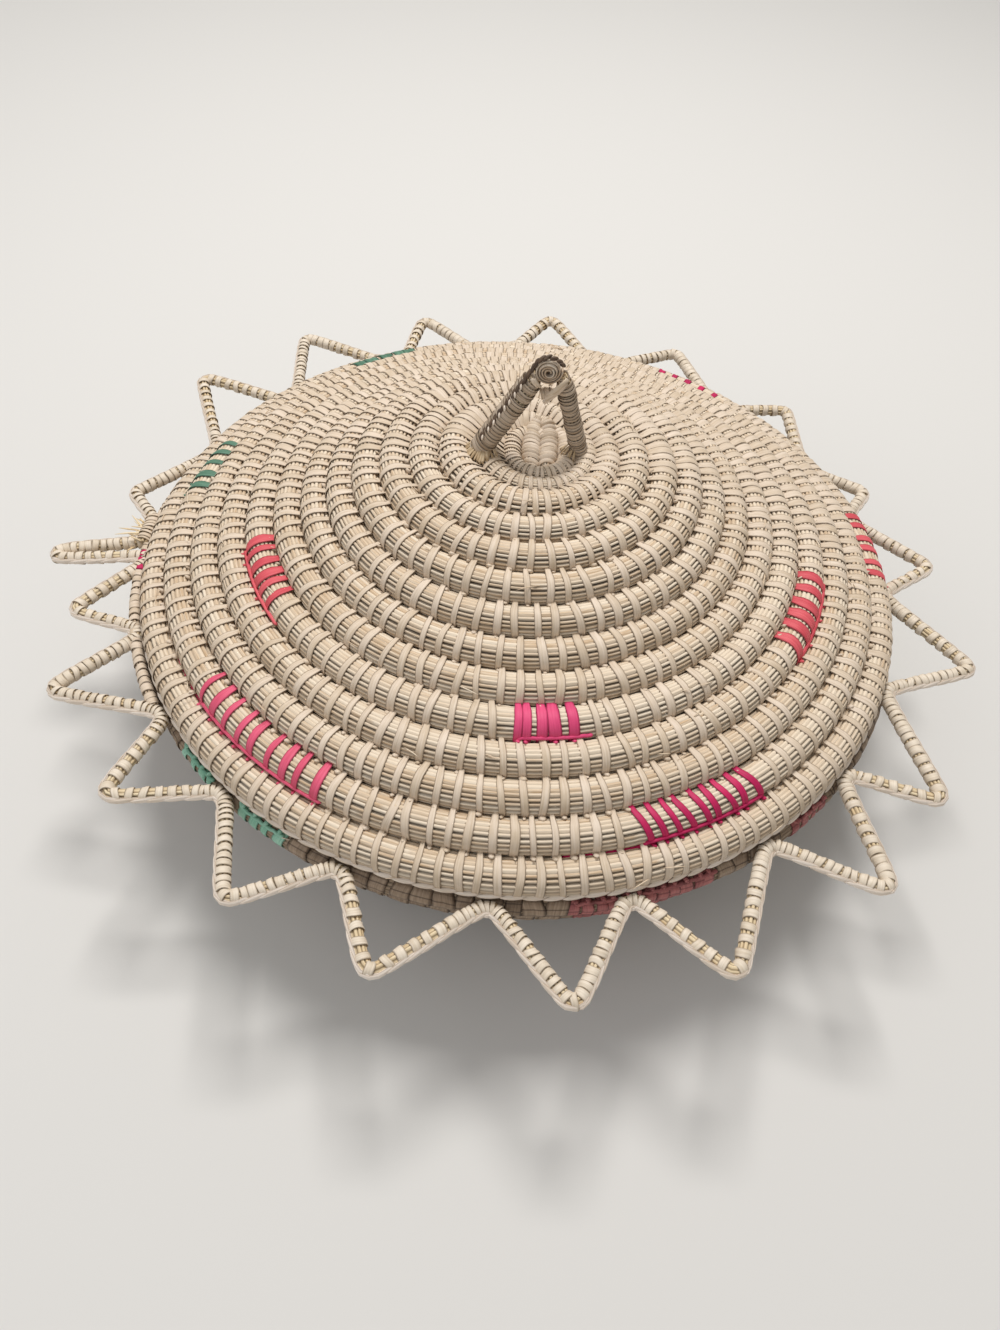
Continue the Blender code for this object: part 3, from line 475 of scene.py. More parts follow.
def surface_marks(tone, run, beside, shift=90.0, **more):
    """What materials read: a shade from 0 to 1, the place along and across the fibres in mm, and more."""
    tone, run, beside, *values = np.broadcast_arrays(tone, run, beside, *more.values())
    return {"tone": tone, "grain": np.stack([run, beside, tone * shift], -1), **dict(zip(more, values))}


def put(name, data):
    """An object of its own in the scene."""
    item = bpy.data.objects.new(name, data)
    bpy.context.scene.collection.objects.link(item)
    return item


def make_piece(name, points, faces, marks, finish, solid):
    """One piece of the basket that rides on a body and stands for a solid."""
    mesh = bpy.data.meshes.new(name)
    points = np.asarray(points, float).reshape(-1, 3)
    mesh.from_pydata(points.tolist(), [], faces)
    for mark, values in marks.items():
        kind = "FLOAT" if values.size == len(points) else "FLOAT_VECTOR"
        attribute = mesh.attributes.new(mark, kind, "POINT")
        attribute.data.foreach_set("value" if kind == "FLOAT" else "vector",
                                   np.ascontiguousarray(values, np.float32).ravel())
    mesh.shade_smooth()
    mesh.materials.append(FINISHES[finish])
    piece = put(name, mesh)
    body, slot, node = solid
    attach(piece, body)
    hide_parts(node)


def make_pieces(name, points, marks, finish, solid, fit, limit):
    """Rings of a bundle, or strips, in pieces of no more than a number of them."""
    points = fit(points) if fit else points
    bundle = points.ndim == 3
    firsts = range(0, len(points) - bundle, limit)
    for number, first in enumerate(firsts, 1):
        part = slice(first, first + limit + bundle)
        shape = points[part].shape[:-1]
        make_piece(name if len(firsts) == 1 else f"{name}_{number}", points[part],
                   tube_faces(1, *shape) if bundle else closed_loops(*shape),
                   {mark: values[part] for mark, values in marks.items()}, finish, solid)


def stem_bundle(path, places, phase, share, stems, least_open):
    """Points of a bundle: each stem is a ridge that wanders, swells and gives way."""
    count = len(places)
    centre, across, away, half = at(path, places, "centre across away half")
    radius = half * share
    waist = np.exp(-((phase - np.round(phase)) / WAIST_WIDTH) ** 2)
    loose = (1.0 - 0.6 * waist)[:, None]
    knots = np.arange(0.0, places[-1] + 2 * STEM_WANDER_RUN, STEM_WANDER_RUN)
    wander, rise = (np.stack([np.interp(places, knots, rng.uniform(-1, 1, len(knots)))
                              for _ in range(stems)], 1) for _ in range(2))
    middle = np.arange(stems) + wander * STEM_WANDER_SHARE
    before = np.roll(middle, 1, 1)
    before[:, 0] -= stems
    turn = np.stack([(middle + before) / 2, middle - STEM_CREST_SHARE, middle + STEM_CREST_SHARE], 2)
    turn = turn * 2 * pi / stems + (places * BUNDLE_TWIST_PER_M)[:, None, None]
    height = 1.0 + rise * STEM_UNEVEN_SHARE * loose
    upward = np.cos(turn) * across[:, None, None, 2] + np.sin(turn) * away[:, None, None, 2]
    # Grooves that face up lie closer and shallower than those at the sides
    opened = np.maximum(ease((1.07 - upward[:, :, 0]) * 2.2), least_open)
    depth = STEM_GROOVE_SHARE * (0.2 + 0.8 * opened) * (1.0 - 0.5 * waist[:, None])
    groove = np.minimum(height, np.roll(height, 1, 1)) - depth
    reach = np.stack([groove, height, height], 2) * (1.0 - WAIST_SHARE * waist)[:, None, None]
    reach = (reach * radius[:, None, None]).reshape(count, -1, 1)
    turn = turn.reshape(count, -1, 1)
    points = centre[:, None] + reach * (np.cos(turn) * across[:, None] + np.sin(turn) * away[:, None])
    start = rng.uniform(0, STEM_RUN, stems)
    piece = np.floor((places[:, None] + start) / STEM_RUN).astype(int)
    tone = rng.random((stems, piece.max() + 1))[np.arange(stems), piece]
    tone = np.repeat(tone[:, :, None], 3, 2).reshape(count, -1)
    # Painted shade: the gaps between stems darken, more where they face down, and so does each stem's
    # lower flank
    crest = upward[:, :, 1:]
    under = np.clip((crest.mean(2, keepdims=True) - crest) / STEM_UNDER_SIDE, 0.0, 1.0)
    shade = STEM_UNDER_SHADE * under * opened[:, :, None]
    hollow = np.concatenate([(0.35 + 0.65 * opened)[:, :, None], shade], 2).reshape(count, -1)
    girth = turn[:, :, 0] * radius[:, None] / MM
    return points, surface_marks(tone, (places / MM)[:, None], girth, hollow=hollow)


def add_bundle(name, path, rings_per_strip, share, finish, solid, fit=None, limit=PIECE_RINGS,
               least_open=0.75):
    """A long bundle, as a few tubes that meet end to end."""
    phases = np.arange(0.0, path.phase[-1], 1.0 / rings_per_strip)
    places = np.interp(phases, path.phase, path.length)
    stems = max(round(2 * pi * np.median(path.half) * share / STEM_WIDTH), FEWEST_STEMS)
    points, marks = stem_bundle(path, places, phases - 0.5, share, stems, least_open)
    make_pieces(name, points, marks, finish, solid, fit, limit)


# Section of a strip: share of half its width, share of its thickness; the fourth point is its middle
STRIP_SECTION = np.array(((-0.9, 0.0), (-1.0, 0.5), (-0.6, 0.95), (0.0, 1.0), (0.6, 0.95),
                          (1.0, 0.5), (0.9, 0.0)))


def add_strips(name, path, places, widths, leans, share, finish, solid, dive=0.0, tilt=STRIP_TILT,
               fit=None):
    """Strips sewn round a bundle; at the inner seam each can dive into the row before."""
    count = len(places)
    angle = np.linspace(0.0, 2 * pi, STRIP_STEPS, endpoint=False)
    centre, across, away, along = (values[:, None, None] for values in
                                   at(path, places, "centre across away along"))
    radius = at(path, places, "half") * share + rng.uniform(0.0, STRIP_THICKNESS / 2, count)
    inward = ease((-np.cos(angle) - STRIP_DIVES_FROM) / (1.0 - STRIP_DIVES_FROM))[None]
    dive = np.broadcast_to(dive, places.shape)[:, None]
    narrow = 1.0 - STRIP_NARROWS_SHARE * ease((-np.cos(angle) - 0.6) / 0.4) * (dive > STRIP_DIVE / 2)
    side, thick = STRIP_SECTION.T
    # Three in ten strips are laid double, with a line along their middle
    doubled = rng.random(count) < 0.3
    fold = np.ones((count, len(side)))
    fold[:, 3] = np.where(doubled, 0.35, 1.0)
    thickness = STRIP_THICKNESS * rng.uniform(0.85, 1.2, count)
    lift = (radius[:, None] + dive * inward)[:, :, None] + (thickness[:, None] * thick * fold)[:, None]
    curl = tilt * (1.0 + rng.uniform(-1, 1, (count, 1, 1))) * side
    spread = (widths[:, None] / 2 * narrow)[:, :, None] * side
    lean = leans[:, None] / 2 * np.cos(angle)
    wave = rng.uniform(-1, 1, (count, 1)) * 0.12 * widths[:, None] * np.sin(2 * angle + 1.0)
    shift = spread + (lean + wave)[:, :, None]
    around = np.cos(angle)[:, None, None] * across + np.sin(angle)[:, None, None] * away
    points = centre + (lift + curl)[..., None] * around + shift[..., None] * along
    girth = angle[None, :, None] * radius[:, None, None] / MM
    # The edge mark is painted shade: a dark line along both edges of each strip
    marks = surface_marks(rng.random(count)[:, None, None], girth, spread / MM, edge=np.abs(side) ** 2)
    make_pieces(name, points, marks, finish, solid, fit, PIECE_STRIPS)


def add_chain(name, path, chain, finish, solid):
    """A chain of long flat leaves that overlap, each a little askew."""
    places = np.arange(chain.spacing * chain.first, path.length[-1], chain.spacing)
    places = places + rng.uniform(-0.1, 0.1, len(places)) * chain.spacing
    places = np.clip(places, chain.length / 2, path.length[-1] - chain.length / 2)
    ends = np.linspace(-1.0, 1.0, 9)
    where = places[:, None] + ends * chain.length / 2
    centre, across, away = (values[:, :, None] for values in at(path, where, "centre across away"))
    face = radians(chain.face_deg)
    out = cos(face) * across + sin(face) * away
    beside = cos(face) * away - sin(face) * across
    ends = ends[:, None]
    angle = np.linspace(0.0, 2 * pi, 8, endpoint=False)
    taper = np.clip(1.04 - ends ** 2, 0.0, 1.0) ** 0.75
    slant = np.tan(np.radians(chain.slant_deg) * rng.uniform(0.7, 1.3, len(places)))[:, None, None]
    run = ends * chain.length / 2 * np.ones(8)
    side = taper * np.cos(angle) * chain.width / 2 + run * slant
    rise = taper * np.sin(angle) * chain.thick / 2 - ends * chain.thick * 0.45
    points = centre + out * (chain.reach + rise)[None, ..., None] + beside * side[..., None]
    # The edge mark is painted shade: a dark line along both sides of each leaf
    marks = surface_marks(rng.random(len(places))[:, None, None], run / MM, side / MM,
                          edge=np.abs(np.cos(angle)) ** 2)
    make_piece(name, points, tube_faces(*points.shape[:-1], turned=True), marks, finish, solid)


def add_threads(name, routes, radius, finish, solid, flat=0.6, tip=0.25):
    """Thin strands tapered at both ends; radius is one number or one for each."""
    points, faces, marks = [], [], []
    angle = np.linspace(0.0, 2 * pi, 6, endpoint=False)
    first = 0
    for route, thick in zip(routes, np.broadcast_to(radius, len(routes))):
        route = smooth(np.asarray(route, float), 2)
        along = unit(np.gradient(route, axis=0))
        side = unit(np.cross(along, (0.13, 0.21, 1.0)))
        up = np.cross(side, along)
        reach = thick * np.ones(len(route))
        reach[[0, -1]] *= tip
        points.append(route[:, None] + reach[:, None, None] * (
            np.cos(angle)[:, None] * side[:, None] + flat * np.sin(angle)[:, None] * up[:, None]))
        faces += tube_faces(1, len(route), 6, first)
        first += len(route) * 6
        run = np.linspace(0.0, 12.0, len(route))[:, None]
        marks.append(surface_marks(rng.random(), run, np.cos(angle), edge=0.0, hollow=0.0))
    marks = {mark: np.concatenate([each[mark] for each in marks]) for mark in marks[0]}
    make_piece(name, np.concatenate(points), faces, marks, finish, solid)


# Materials.  The grain mark is in mm, so a scale counts how often a pattern repeats in a mm.  Inputs
# by number: of a MapRange 0 the value, 1 and 2 its range, 3 and 4 what they become; of a Mix 0 the
# share, 6 and 7 the two colours

def srgb(code):
    """Linear colour from an sRGB hex value."""
    shares = [int(code[place:place + 2], 16) / 255 for place in (1, 3, 5)]
    return (*[share / 12.92 if share <= 0.04045 else ((share + 0.055) / 1.055) ** 2.4
              for share in shares], 1.0)


def add_node(tree, kind, inputs, output=0, **settings):
    """Adds a node and gives its output; an input is a plain value or another node's output."""
    node = tree.nodes.new("ShaderNode" + kind)
    for name, value in settings.items():
        setattr(node, name, value)
    for socket, value in inputs.items():
        if isinstance(value, bpy.types.NodeSocket):
            tree.links.new(value, node.inputs[socket])
        else:
            node.inputs[socket].default_value = value
    return node.outputs[output]


COLOURS = {"output": 2, "data_type": "RGBA"}


def new_finish(name, roughness, sheen, *marks):
    """A material, its shader's sockets, what adds and links nodes, and the marks it reads."""
    material = bpy.data.materials.new(name)
    material.use_nodes = True
    tree = material.node_tree
    sockets = tree.nodes["Principled BSDF"].inputs
    sockets["Roughness"].default_value = roughness
    sockets["Metallic"].default_value = 0.0
    sockets["Specular IOR Level"].default_value = sheen
    add = partial(add_node, tree)
    return (material, sockets, add, tree.links.new, *[
        add("Attribute", {}, "Vector" if mark == "grain" else "Fac", attribute_name=mark)
        for mark in marks])


def dry_grass_stems(name, pale, ripe, groove="#2A1B12"):
    """Dried grass, cut and bundled: straw-yellow stems, each its own shade, with painted shade in their
    gaps.
    """
    material, sockets, add, link, *marks = new_finish(name, 0.62, 0.35, "tone", "hollow", "grain")
    tone, hollow, grain = marks
    pale, ripe, groove = srgb(pale), srgb(ripe), srgb(groove)
    streaks = add("Mapping", {"Vector": grain, "Scale": (0.06, 1.6, 1.0)})
    fibre = add("TexNoise", {"Vector": streaks, "Scale": 2.2, "Detail": 3.0})
    streak = add("MapRange", {0: fibre, 1: 0.38, 2: 0.66, 3: 0.35, 4: 1.25})
    shade = add("Math", {0: tone, 1: streak}, operation="MULTIPLY")
    body = add("Mix", {0: shade, 6: pale, 7: ripe}, **COLOURS)
    age = add("Mapping", {"Vector": grain, "Scale": (0.012, 0.05, 1.0)})
    stain = add("TexNoise", {"Vector": age, "Scale": 1.0, "Detail": 2.0})
    spots = add("MapRange", {0: stain, 1: 0.55, 2: 0.8, 3: 0.0, 4: 0.45})
    stain_and_edge_shade = add("Mix", {0: spots, 6: body, 7: ripe}, **COLOURS)
    # Painted shade: the gaps between stems and their lower flanks are mixed towards the groove colour
    deep = add("Math", {0: hollow, 1: 1.25}, operation="POWER")
    whole = add("Mix", {0: deep, 6: stain_and_edge_shade, 7: groove}, **COLOURS)
    bump = add("Bump", {"Height": fibre, "Strength": 0.35, "Distance": 0.0002})
    link(whole, sockets["Base Color"])
    link(bump, sockets["Normal"])
    return material


def split_palm(name, pale, dark, edge="#6B5136", course=0.0):
    """Split palm leaf, natural or dyed: a thin strip with fine lengthwise fibres and a low sheen.

    Strips that are pressed over the stems show them as cross lines, a course of so many mm apart; the
    edges and these lines carry painted shade.
    """
    material, sockets, add, link, *marks = new_finish(name, 0.58, 0.4, "tone", "edge", "grain")
    tone, rim, grain = marks
    pale, dark, edge = srgb(pale), srgb(dark), srgb(edge)
    # Real fibres are a tenth of a millimetre apart; here they lie half a millimetre apart so as to show
    lengthwise = add("Mapping", {"Vector": grain, "Scale": (0.07, 1.3, 1.0)})
    fibre = add("TexNoise", {"Vector": lengthwise, "Scale": 1.6, "Detail": 4.0})
    lines = add("MapRange", {0: fibre, 1: 0.38, 2: 0.66, 3: 0.0, 4: 0.65})
    blotch = add("TexNoise", {"Vector": grain, "Scale": 0.22, "Detail": 2.0})
    mottled = add("Math", {0: blotch, 1: tone}, operation="MULTIPLY")
    toned = add("Math", {0: lines, 1: mottled}, operation="ADD")
    body = add("Mix", {0: toned, 6: pale, 7: dark}, **COLOURS)
    # Painted shade: the edges are mixed towards the edge colour, as thin shadow lines
    stain_and_edge_shade = add("MapRange", {0: rim, 1: 0.55, 2: 1.0, 3: 0.0, 4: 0.6})
    whole = add("Mix", {0: stain_and_edge_shade, 6: body, 7: edge}, **COLOURS)
    bump = add("Bump", {"Height": fibre, "Strength": 0.6, "Distance": 0.0003})
    # Painted shade in the creases: the cross lines are mixed towards the edge colour, and a bump gives
    # their relief
    if course:
        place = add("SeparateXYZ", {"Vector": grain}).node.outputs
        askew = add("Math", {0: place["X"], 1: place["Z"]}, operation="ADD")
        swell = add("Math", {0: askew, 1: course / 2}, operation="PINGPONG")
        line = add("MapRange", {0: swell, 1: 0.0, 2: 0.5, 3: 0.75, 4: 0.0})
        whole = add("Mix", {0: line, 6: whole, 7: edge}, **COLOURS)
        bump = add("Bump", {"Height": swell, "Strength": 0.5, "Distance": 0.0004, "Normal": bump})
    link(whole, sockets["Base Color"])
    link(bump, sockets["Normal"])
    return material


WALL_COURSE = 3.6
# Each finish: material name, pale and dark colour, for some the colour of painted shade at edges and
# cross lines, and a course
PALM = {
    "natural": ("natural", "#E3D2BF", "#CCB89E"),
    "cord": ("cord", "#EBDECC", "#D6C6AF", "#8A704F"),
    "chain": ("edging", "#F4E8DB", "#E0CFBB"),
    # Painted shade: the legs' palm is set greyer and darker than the lid's, as if in shade
    "leg": ("weathered", "#CDBCA8", "#A28D75", "#4A3727"),
    "foot": ("ends", "#DCC7A6", "#A88D68", "#54402D"),
    "roll": ("rolled", "#EBDCC8", "#BFA588", "#46301F"),
    # Painted shade: the wall's palm is set darker than the lid's, as if in shade
    "wall": ("dusty", "#AB957F", "#7D6954", "#34251A", WALL_COURSE),
    "dark_stitch": ("darkened", "#6E5844", "#3A2A20", "#261B14"),
    "hot_pink": ("dyed_hot_pink", "#EA5583", "#D54071", "#8A1238"),
    "rose": ("dyed_rose", "#E96383", "#D14C68", "#8F2540"),
    "magenta": ("dyed_magenta", "#D31F60", "#B01650", "#6E0C30"),
    "coral": ("dyed_coral", "#E2656C", "#C8434F", "#8F3138"),
    # Painted shade: the dusty pink dye on the wall is also set darker, as if in shade
    "dusty_pink": ("dyed_dusty_pink", "#BC7571", "#945453", "#5C302E", WALL_COURSE),
    "sea_green": ("dyed_sea_green", "#678F79", "#406852", "#2E493B"),
    "mint": ("dyed_mint", "#A3D0BA", "#78AF95", "#4C7263"),
}
FINISHES = {use: split_palm("split_palm_" + name, *look) for use, (name, *look) in PALM.items()}
FINISHES["stems"] = dry_grass_stems("dry_grass_stems", "#EDDDC6", "#CBAE8B")
FINISHES["cord_stems"] = dry_grass_stems("golden_grass_stems", "#EEDCB9", "#D8BC90", "#7A6143")
# Painted shade: the wall's stems are set darker than the lid's, as if in shade
FINISHES["wall_stems"] = dry_grass_stems("dusty_grass_stems", "#B5A088", "#937D65")


# The two coils

# A dyed group: its row from the edge, bearings, number of strips, their width and lean, its colour,
# how far its strand runs on at both ends, and its slot where that isn't the colour
Dyed = namedtuple("Dyed", "name row first last count width lean finish before after slot",
                  defaults=(0.002, 0.003, None))
# The front group's strips lie in two pairs and a single one: share of the group's run, and width
FRONT_PAIRS = ((0.0, 0.0029), (0.155, 0.0032), (0.43, 0.0038), (0.655, 0.0046), (1.0, 0.0038))
LID_DYED = (
    Dyed("hot_pink_front", 5, -88.6, -78.6, 5, 0.0029, 0.0004, "hot_pink", 0.001, 0.006),
    Dyed("magenta_front_right", 2, -70.8, -53.0, 9, 0.0022, 0.0036, "magenta", 0.026),
    Dyed("pink_front_left", 2, -140.5, -116.4, 9, 0.0034, 0.0016, "rose", 0.024, 0.003,
         "hot_pink"),
    Dyed("coral_left", 5, -163.2, -146.5, 6, 0.0042, 0.0012, "coral", 0.002, 0.009),
    Dyed("coral_right", 4, -29.2, -11.4, 6, 0.0042, -0.0012, "coral"),
    Dyed("pink_right_edge", 1, 0.5, 14.5, 6, 0.0034, -0.0008, "coral"),
    Dyed("magenta_back_right", 2, 51.2, 62.8, 5, 0.0030, 0.0020, "magenta"),
    Dyed("green_back_left", 2, -243.8, -233.4, 5, 0.0052, 0.0015, "sea_green"),
    Dyed("green_left", 2, -198.8, -187.0, 5, 0.0042, 0.0015, "sea_green"),
)
BASE_DYED = (
    Dyed("mint_front_left", 1, -138.5, -132.5, 4, 0.0040, 0.0024, "mint"),
    Dyed("mint_front", 1, -126.0, -119.5, 4, 0.0040, 0.0024, "mint"),
    Dyed("dusty_pink_front", 1, -80.5, -62.5, 12, 0.0042, 0.0004, "dusty_pink"),
    Dyed("dusty_pink_front", 2, -79.5, -62.5, 12, 0.0042, 0.0004, "dusty_pink"),
    Dyed("pink_front_right", 1, -48.0, -42.5, 4, 0.0030, 0.0004, "dusty_pink"),
)

LID = lid_coil()
BASE = base_coil((LID.seams[-1, 2] + LID.seams[-2, 2]) / 2 + RIM_PAST_LID)
CONTACT_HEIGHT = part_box("lid_coil")[0].z - LID_SEAT_GAP


def press(points, level, side, excess):
    """Squeezes what lies up to an excess past a level into the room before it."""
    past = (points[..., 2] - level) * side + PRESSED_ROOM
    squeezed = np.minimum(past * PRESSED_ROOM / (PRESSED_ROOM + excess), PRESSED_ROOM)
    points[..., 2] = np.where(past > 0.0, level + side * (squeezed - PRESSED_ROOM), points[..., 2])
    return points


def rest_on_lid_side(points):
    """The lid's last row is pressed flat where it lies on the rim."""
    return press(points, CONTACT_HEIGHT + PRESSED_GAP, -1.0, PRESSED_EXCESS)


def rest_on_rim_side(points):
    """The rim is pressed flat under the lid, and the bottom is flat where it stands."""
    points = press(points, 0.0, -1.0, FLOOR_EXCESS)
    return press(points, CONTACT_HEIGHT - PRESSED_GAP, 1.0, PRESSED_EXCESS)


def lift_off_floor(points):
    points[..., 2] = np.maximum(points[..., 2], STRIP_THICKNESS)
    return points


def add_coil(solid, coil, path, rings, width, lean, dive, dyed, facing, fit, stems, finish):
    """A coil with its sewing strips and dyed strips; gives where strips are sewn down."""
    body, _, name = solid
    add_bundle(name + "_stems", path, rings, 1.0, stems, solid, fit, least_open=0.0)
    places = strip_places(path)
    for group in dyed:
        first = row_place(path, coil, group.row, group.first) - STRIP_SPACING / 2
        last = row_place(path, coil, group.row, group.last) + STRIP_SPACING / 2
        places = places[(places < first) | (places > last)]
    widths = np.interp(places, path.length, width) * rng.uniform(0.78, 1.2, len(places))
    spacing = np.gradient(path.length) / np.gradient(path.phase)
    closeness = np.interp(places, path.length, spacing) / STRIP_SPACING
    leans = (rng.normal(0.0, 1.0, len(places)) + 0.5) * lean * closeness
    dive = dive * ease(at(path, places, "row") - 0.2)
    add_strips(name + "_strips", path, places, widths, leans, 1.0 - WAIST_SHARE / 2, finish, solid, dive,
               fit=fit)
    for group in dyed:
        add_dyed(group, coil, path, body, facing, fit)
    return places + leans / 2


def beside_row(path, run, turn_deg, share, sway=0.0):
    """Points on a row: the turn counts from its outer seam, the share from its middle."""
    turn = np.radians(turn_deg)
    centre, across, away, half = at(path, run, "centre across away half")
    reach = half * share
    return (centre + (reach * np.cos(turn))[:, None] * across
            + (reach * np.sin(turn) + sway)[:, None] * away)


def seam_bump(path, place, facing):
    """Route of the bump where a strip is sewn down through the shoulder of the next row."""
    run = place + np.array((0.0, 0.3, 1.0)) * rng.uniform(-SEAM_BUMP_ASKEW, SEAM_BUMP_ASKEW)
    turn = (SEAM_BUMP_TURNS_DEG + rng.uniform(-3.0, 3.0)) * facing
    return beside_row(path, run, turn, SEAM_BUMP_REACHES)


def add_seam_bumps(path, places):
    rows = at(path, places, "row")
    shown = places[(rows > SEAM_BUMPS_FROM_ROW) & (rows < len(LID.seams) - 2)]
    bumps = [seam_bump(path, place, 1.0) for place in shown]
    add_threads("lid_coil_seam_bumps", bumps, SEAM_BUMP * rng.uniform(0.6, 1.4, len(bumps)), "natural",
                LID_ROWS)


def add_dyed(group, coil, path, body, facing, fit):
    """Dyed strips over one row, their strand, and a bump over the seam at each strip."""
    first, last = (row_place(path, coil, group.row, bearing) for bearing in (group.first, group.last))
    shares = np.linspace(0.0, 1.0, group.count) + rng.uniform(-0.16, 0.16, group.count) / group.count
    widths = group.width * rng.uniform(0.75, 1.3, group.count)
    if group is LID_DYED[0]:
        shares, widths = np.array(FRONT_PAIRS).T
    places = blend(first, last, shares)
    leans = group.lean * rng.uniform(0.6, 1.4, group.count)
    node = f"{body}_strips_{group.name}"
    solid = (body, group.slot or group.finish, node)
    name = f"{node}_row_{group.row}"
    add_strips(name, path, places, widths, leans, 1.0, group.finish, solid, STRIP_DIVE, fit=fit)
    run = np.linspace(first - group.before, last + group.after, 6 * group.count)
    turn = np.interp(run, (first - MM, first + MM), STRAND_TURNS_DEG) * facing
    sway = STRAND_SWAY * np.sin(run * STRAND_SWAYS_PER_M)
    strands = [beside_row(path, run, turn, STRAND_REACH_SHARE, sway)]
    strands += [seam_bump(path, place, facing) for place in places + leans / 2]
    widths = [DYED_STRAND] + [DYED_BUMP] * len(places)
    add_threads(name + "_strand", strands, widths, group.finish, solid, flat=0.8)


def dress_lid():
    path = coil_path(LID)
    path = part_of(path, path.bearing > CORE_RING_FROM_DEG)
    path = path._replace(length=path.length - path.length[0])
    front = ease((0.25 - np.sin(np.radians(path.bearing))) / 0.9)
    ring = ease((path.row - 0.8) / 0.3)

    def by_row(core, at_side, at_front):
        return blend(core, blend(np.interp(path.row, LID_STRIP_ROWS, at_side),
                                 np.interp(path.row, LID_STRIP_ROWS, at_front), front), ring)

    path = sewn(path, by_row(CORE_STRIP_SPACING, SIDE_SPACING, FRONT_SPACING))
    width = by_row(CORE_STRIP_WIDTH, SIDE_WIDTH, FRONT_WIDTH)
    sewn_down = add_coil(LID_ROWS, LID, path, 4, width, STRIP_LEAN, STRIP_DIVE, LID_DYED, 1.0,
                         rest_on_lid_side, "stems", "natural")
    add_seam_bumps(path, sewn_down)
    dress_core()
    return path


def dress_core():
    """The first two bundles lie side by side, closely wrapped, and meet at the back."""
    x, y, _, z = LID.seams[0]
    along = np.linspace(-1.0, 1.0, 25)
    back = np.clip(along, 0.0, 1.0) ** 2
    ends = np.sqrt(np.clip(1.06 - along ** 4, 0.0, 1.0))
    girth = LID_CORE_ROW * ends * (1.0 - CORE_BACK_NARROWS * back)
    for side, name in ((-1.0, "core_left"), (1.0, "core_right")):
        apart = side * LID_CORE_ROW * (0.45 - 0.08 * along ** 2 - 0.22 * back)
        places = np.stack([x + apart, y + CORE_BACK_SHIFT + along * CORE_LENGTH / 2,
                           z + CORE_RISE * (1.0 - 2.0 * along ** 2) + CORE_BACK_RISE * back], 1)
        path = sewn(cord_path(places, girth), CORE_WRAP_SPACING)
        add_bundle(name + "_stems", path, 2, 0.9, "stems", LID_ROWS)
        spots = strip_places(path, 0.15)
        add_strips(name + "_strips", path, spots, rng.uniform(*CORE_WRAP_WIDTHS, len(spots)),
                   side * rng.uniform(*CORE_WRAP_LEANS, len(spots)), 0.92, "natural", LID_ROWS,
                   tilt=CORE_WRAP_TILT)


def dress_base():
    """The base's strips are so wide on the wall that they hide its stems."""
    path = coil_path(BASE)
    rows = (len(BASE.seams) - 8, len(BASE.seams) - 7)
    spacing = np.interp(path.row, rows, (STRIP_SPACING, WALL_STRIP_SPACING))
    width = np.interp(path.row, rows, (STRIP_WIDTH, WALL_STRIP_WIDTH))
    add_coil(BASE_ROWS, BASE, sewn(path, spacing), 2, width, STRIP_LEAN / 2, STRIP_DIVE * WALL_DIVE_SHARE,
             BASE_DYED, -1.0, rest_on_rim_side, "wall_stems", "wall")
    return path


# The border

def border_place(path, bearing_deg):
    """Centre of the border cord at a bearing, on the rim's outer shoulder."""
    turned = bearing_deg - 360.0 if bearing_deg > RIM_TAIL_END_DEG else bearing_deg
    rim, half = at(path, row_place(path, BASE, 1, turned), "centre half")
    beside = (half * SOLID_FILL_SHARE + BORDER_CORD / 2) * FLAT_SIDE_SHARE + SEAT_GAP
    out, up = slope(BORDER_ABOVE_RIM_DEG, beside)
    return on_circle(hypot(rim[0], rim[1]) + out, bearing_deg, rim[2] + up)


def border_route(path):
    """The cord's line: three places at each bend on the rim and round each point."""
    half = np.degrees(BORDER_RUN / 2 / BASE.seams[-1, 2])
    last = BORDER_START_DEG + 360.0 - np.degrees(BORDER_JOIN_GAP / BASE.seams[-1, 2])
    side = border_place(path, 0.0)
    places = [border_place(path, BORDER_START_DEG), border_place(path, BORDER_START_DEG + half)]
    for index, (bearing, share) in enumerate(zip(BORDER_POINTS_DEG, BORDER_POINT_SHARES)):
        reach = side[0] + BORDER_REACH * share - BORDER_TURN - BORDER_CORD / 2
        places += [on_circle(reach, bearing, side[2]) + on_circle(BORDER_TURN, bearing + swing, 0.0)
                   for swing in (-BORDER_TURN_DEG, 0.0, BORDER_TURN_DEG)]
        if index < len(BORDER_BENDS_DEG):
            bend = BORDER_BENDS_DEG[index]
            places += [border_place(path, bend + shift) for shift in (-half, 0.0, half)]
    places += [border_place(path, last - half), border_place(path, last)]
    return np.array(places)


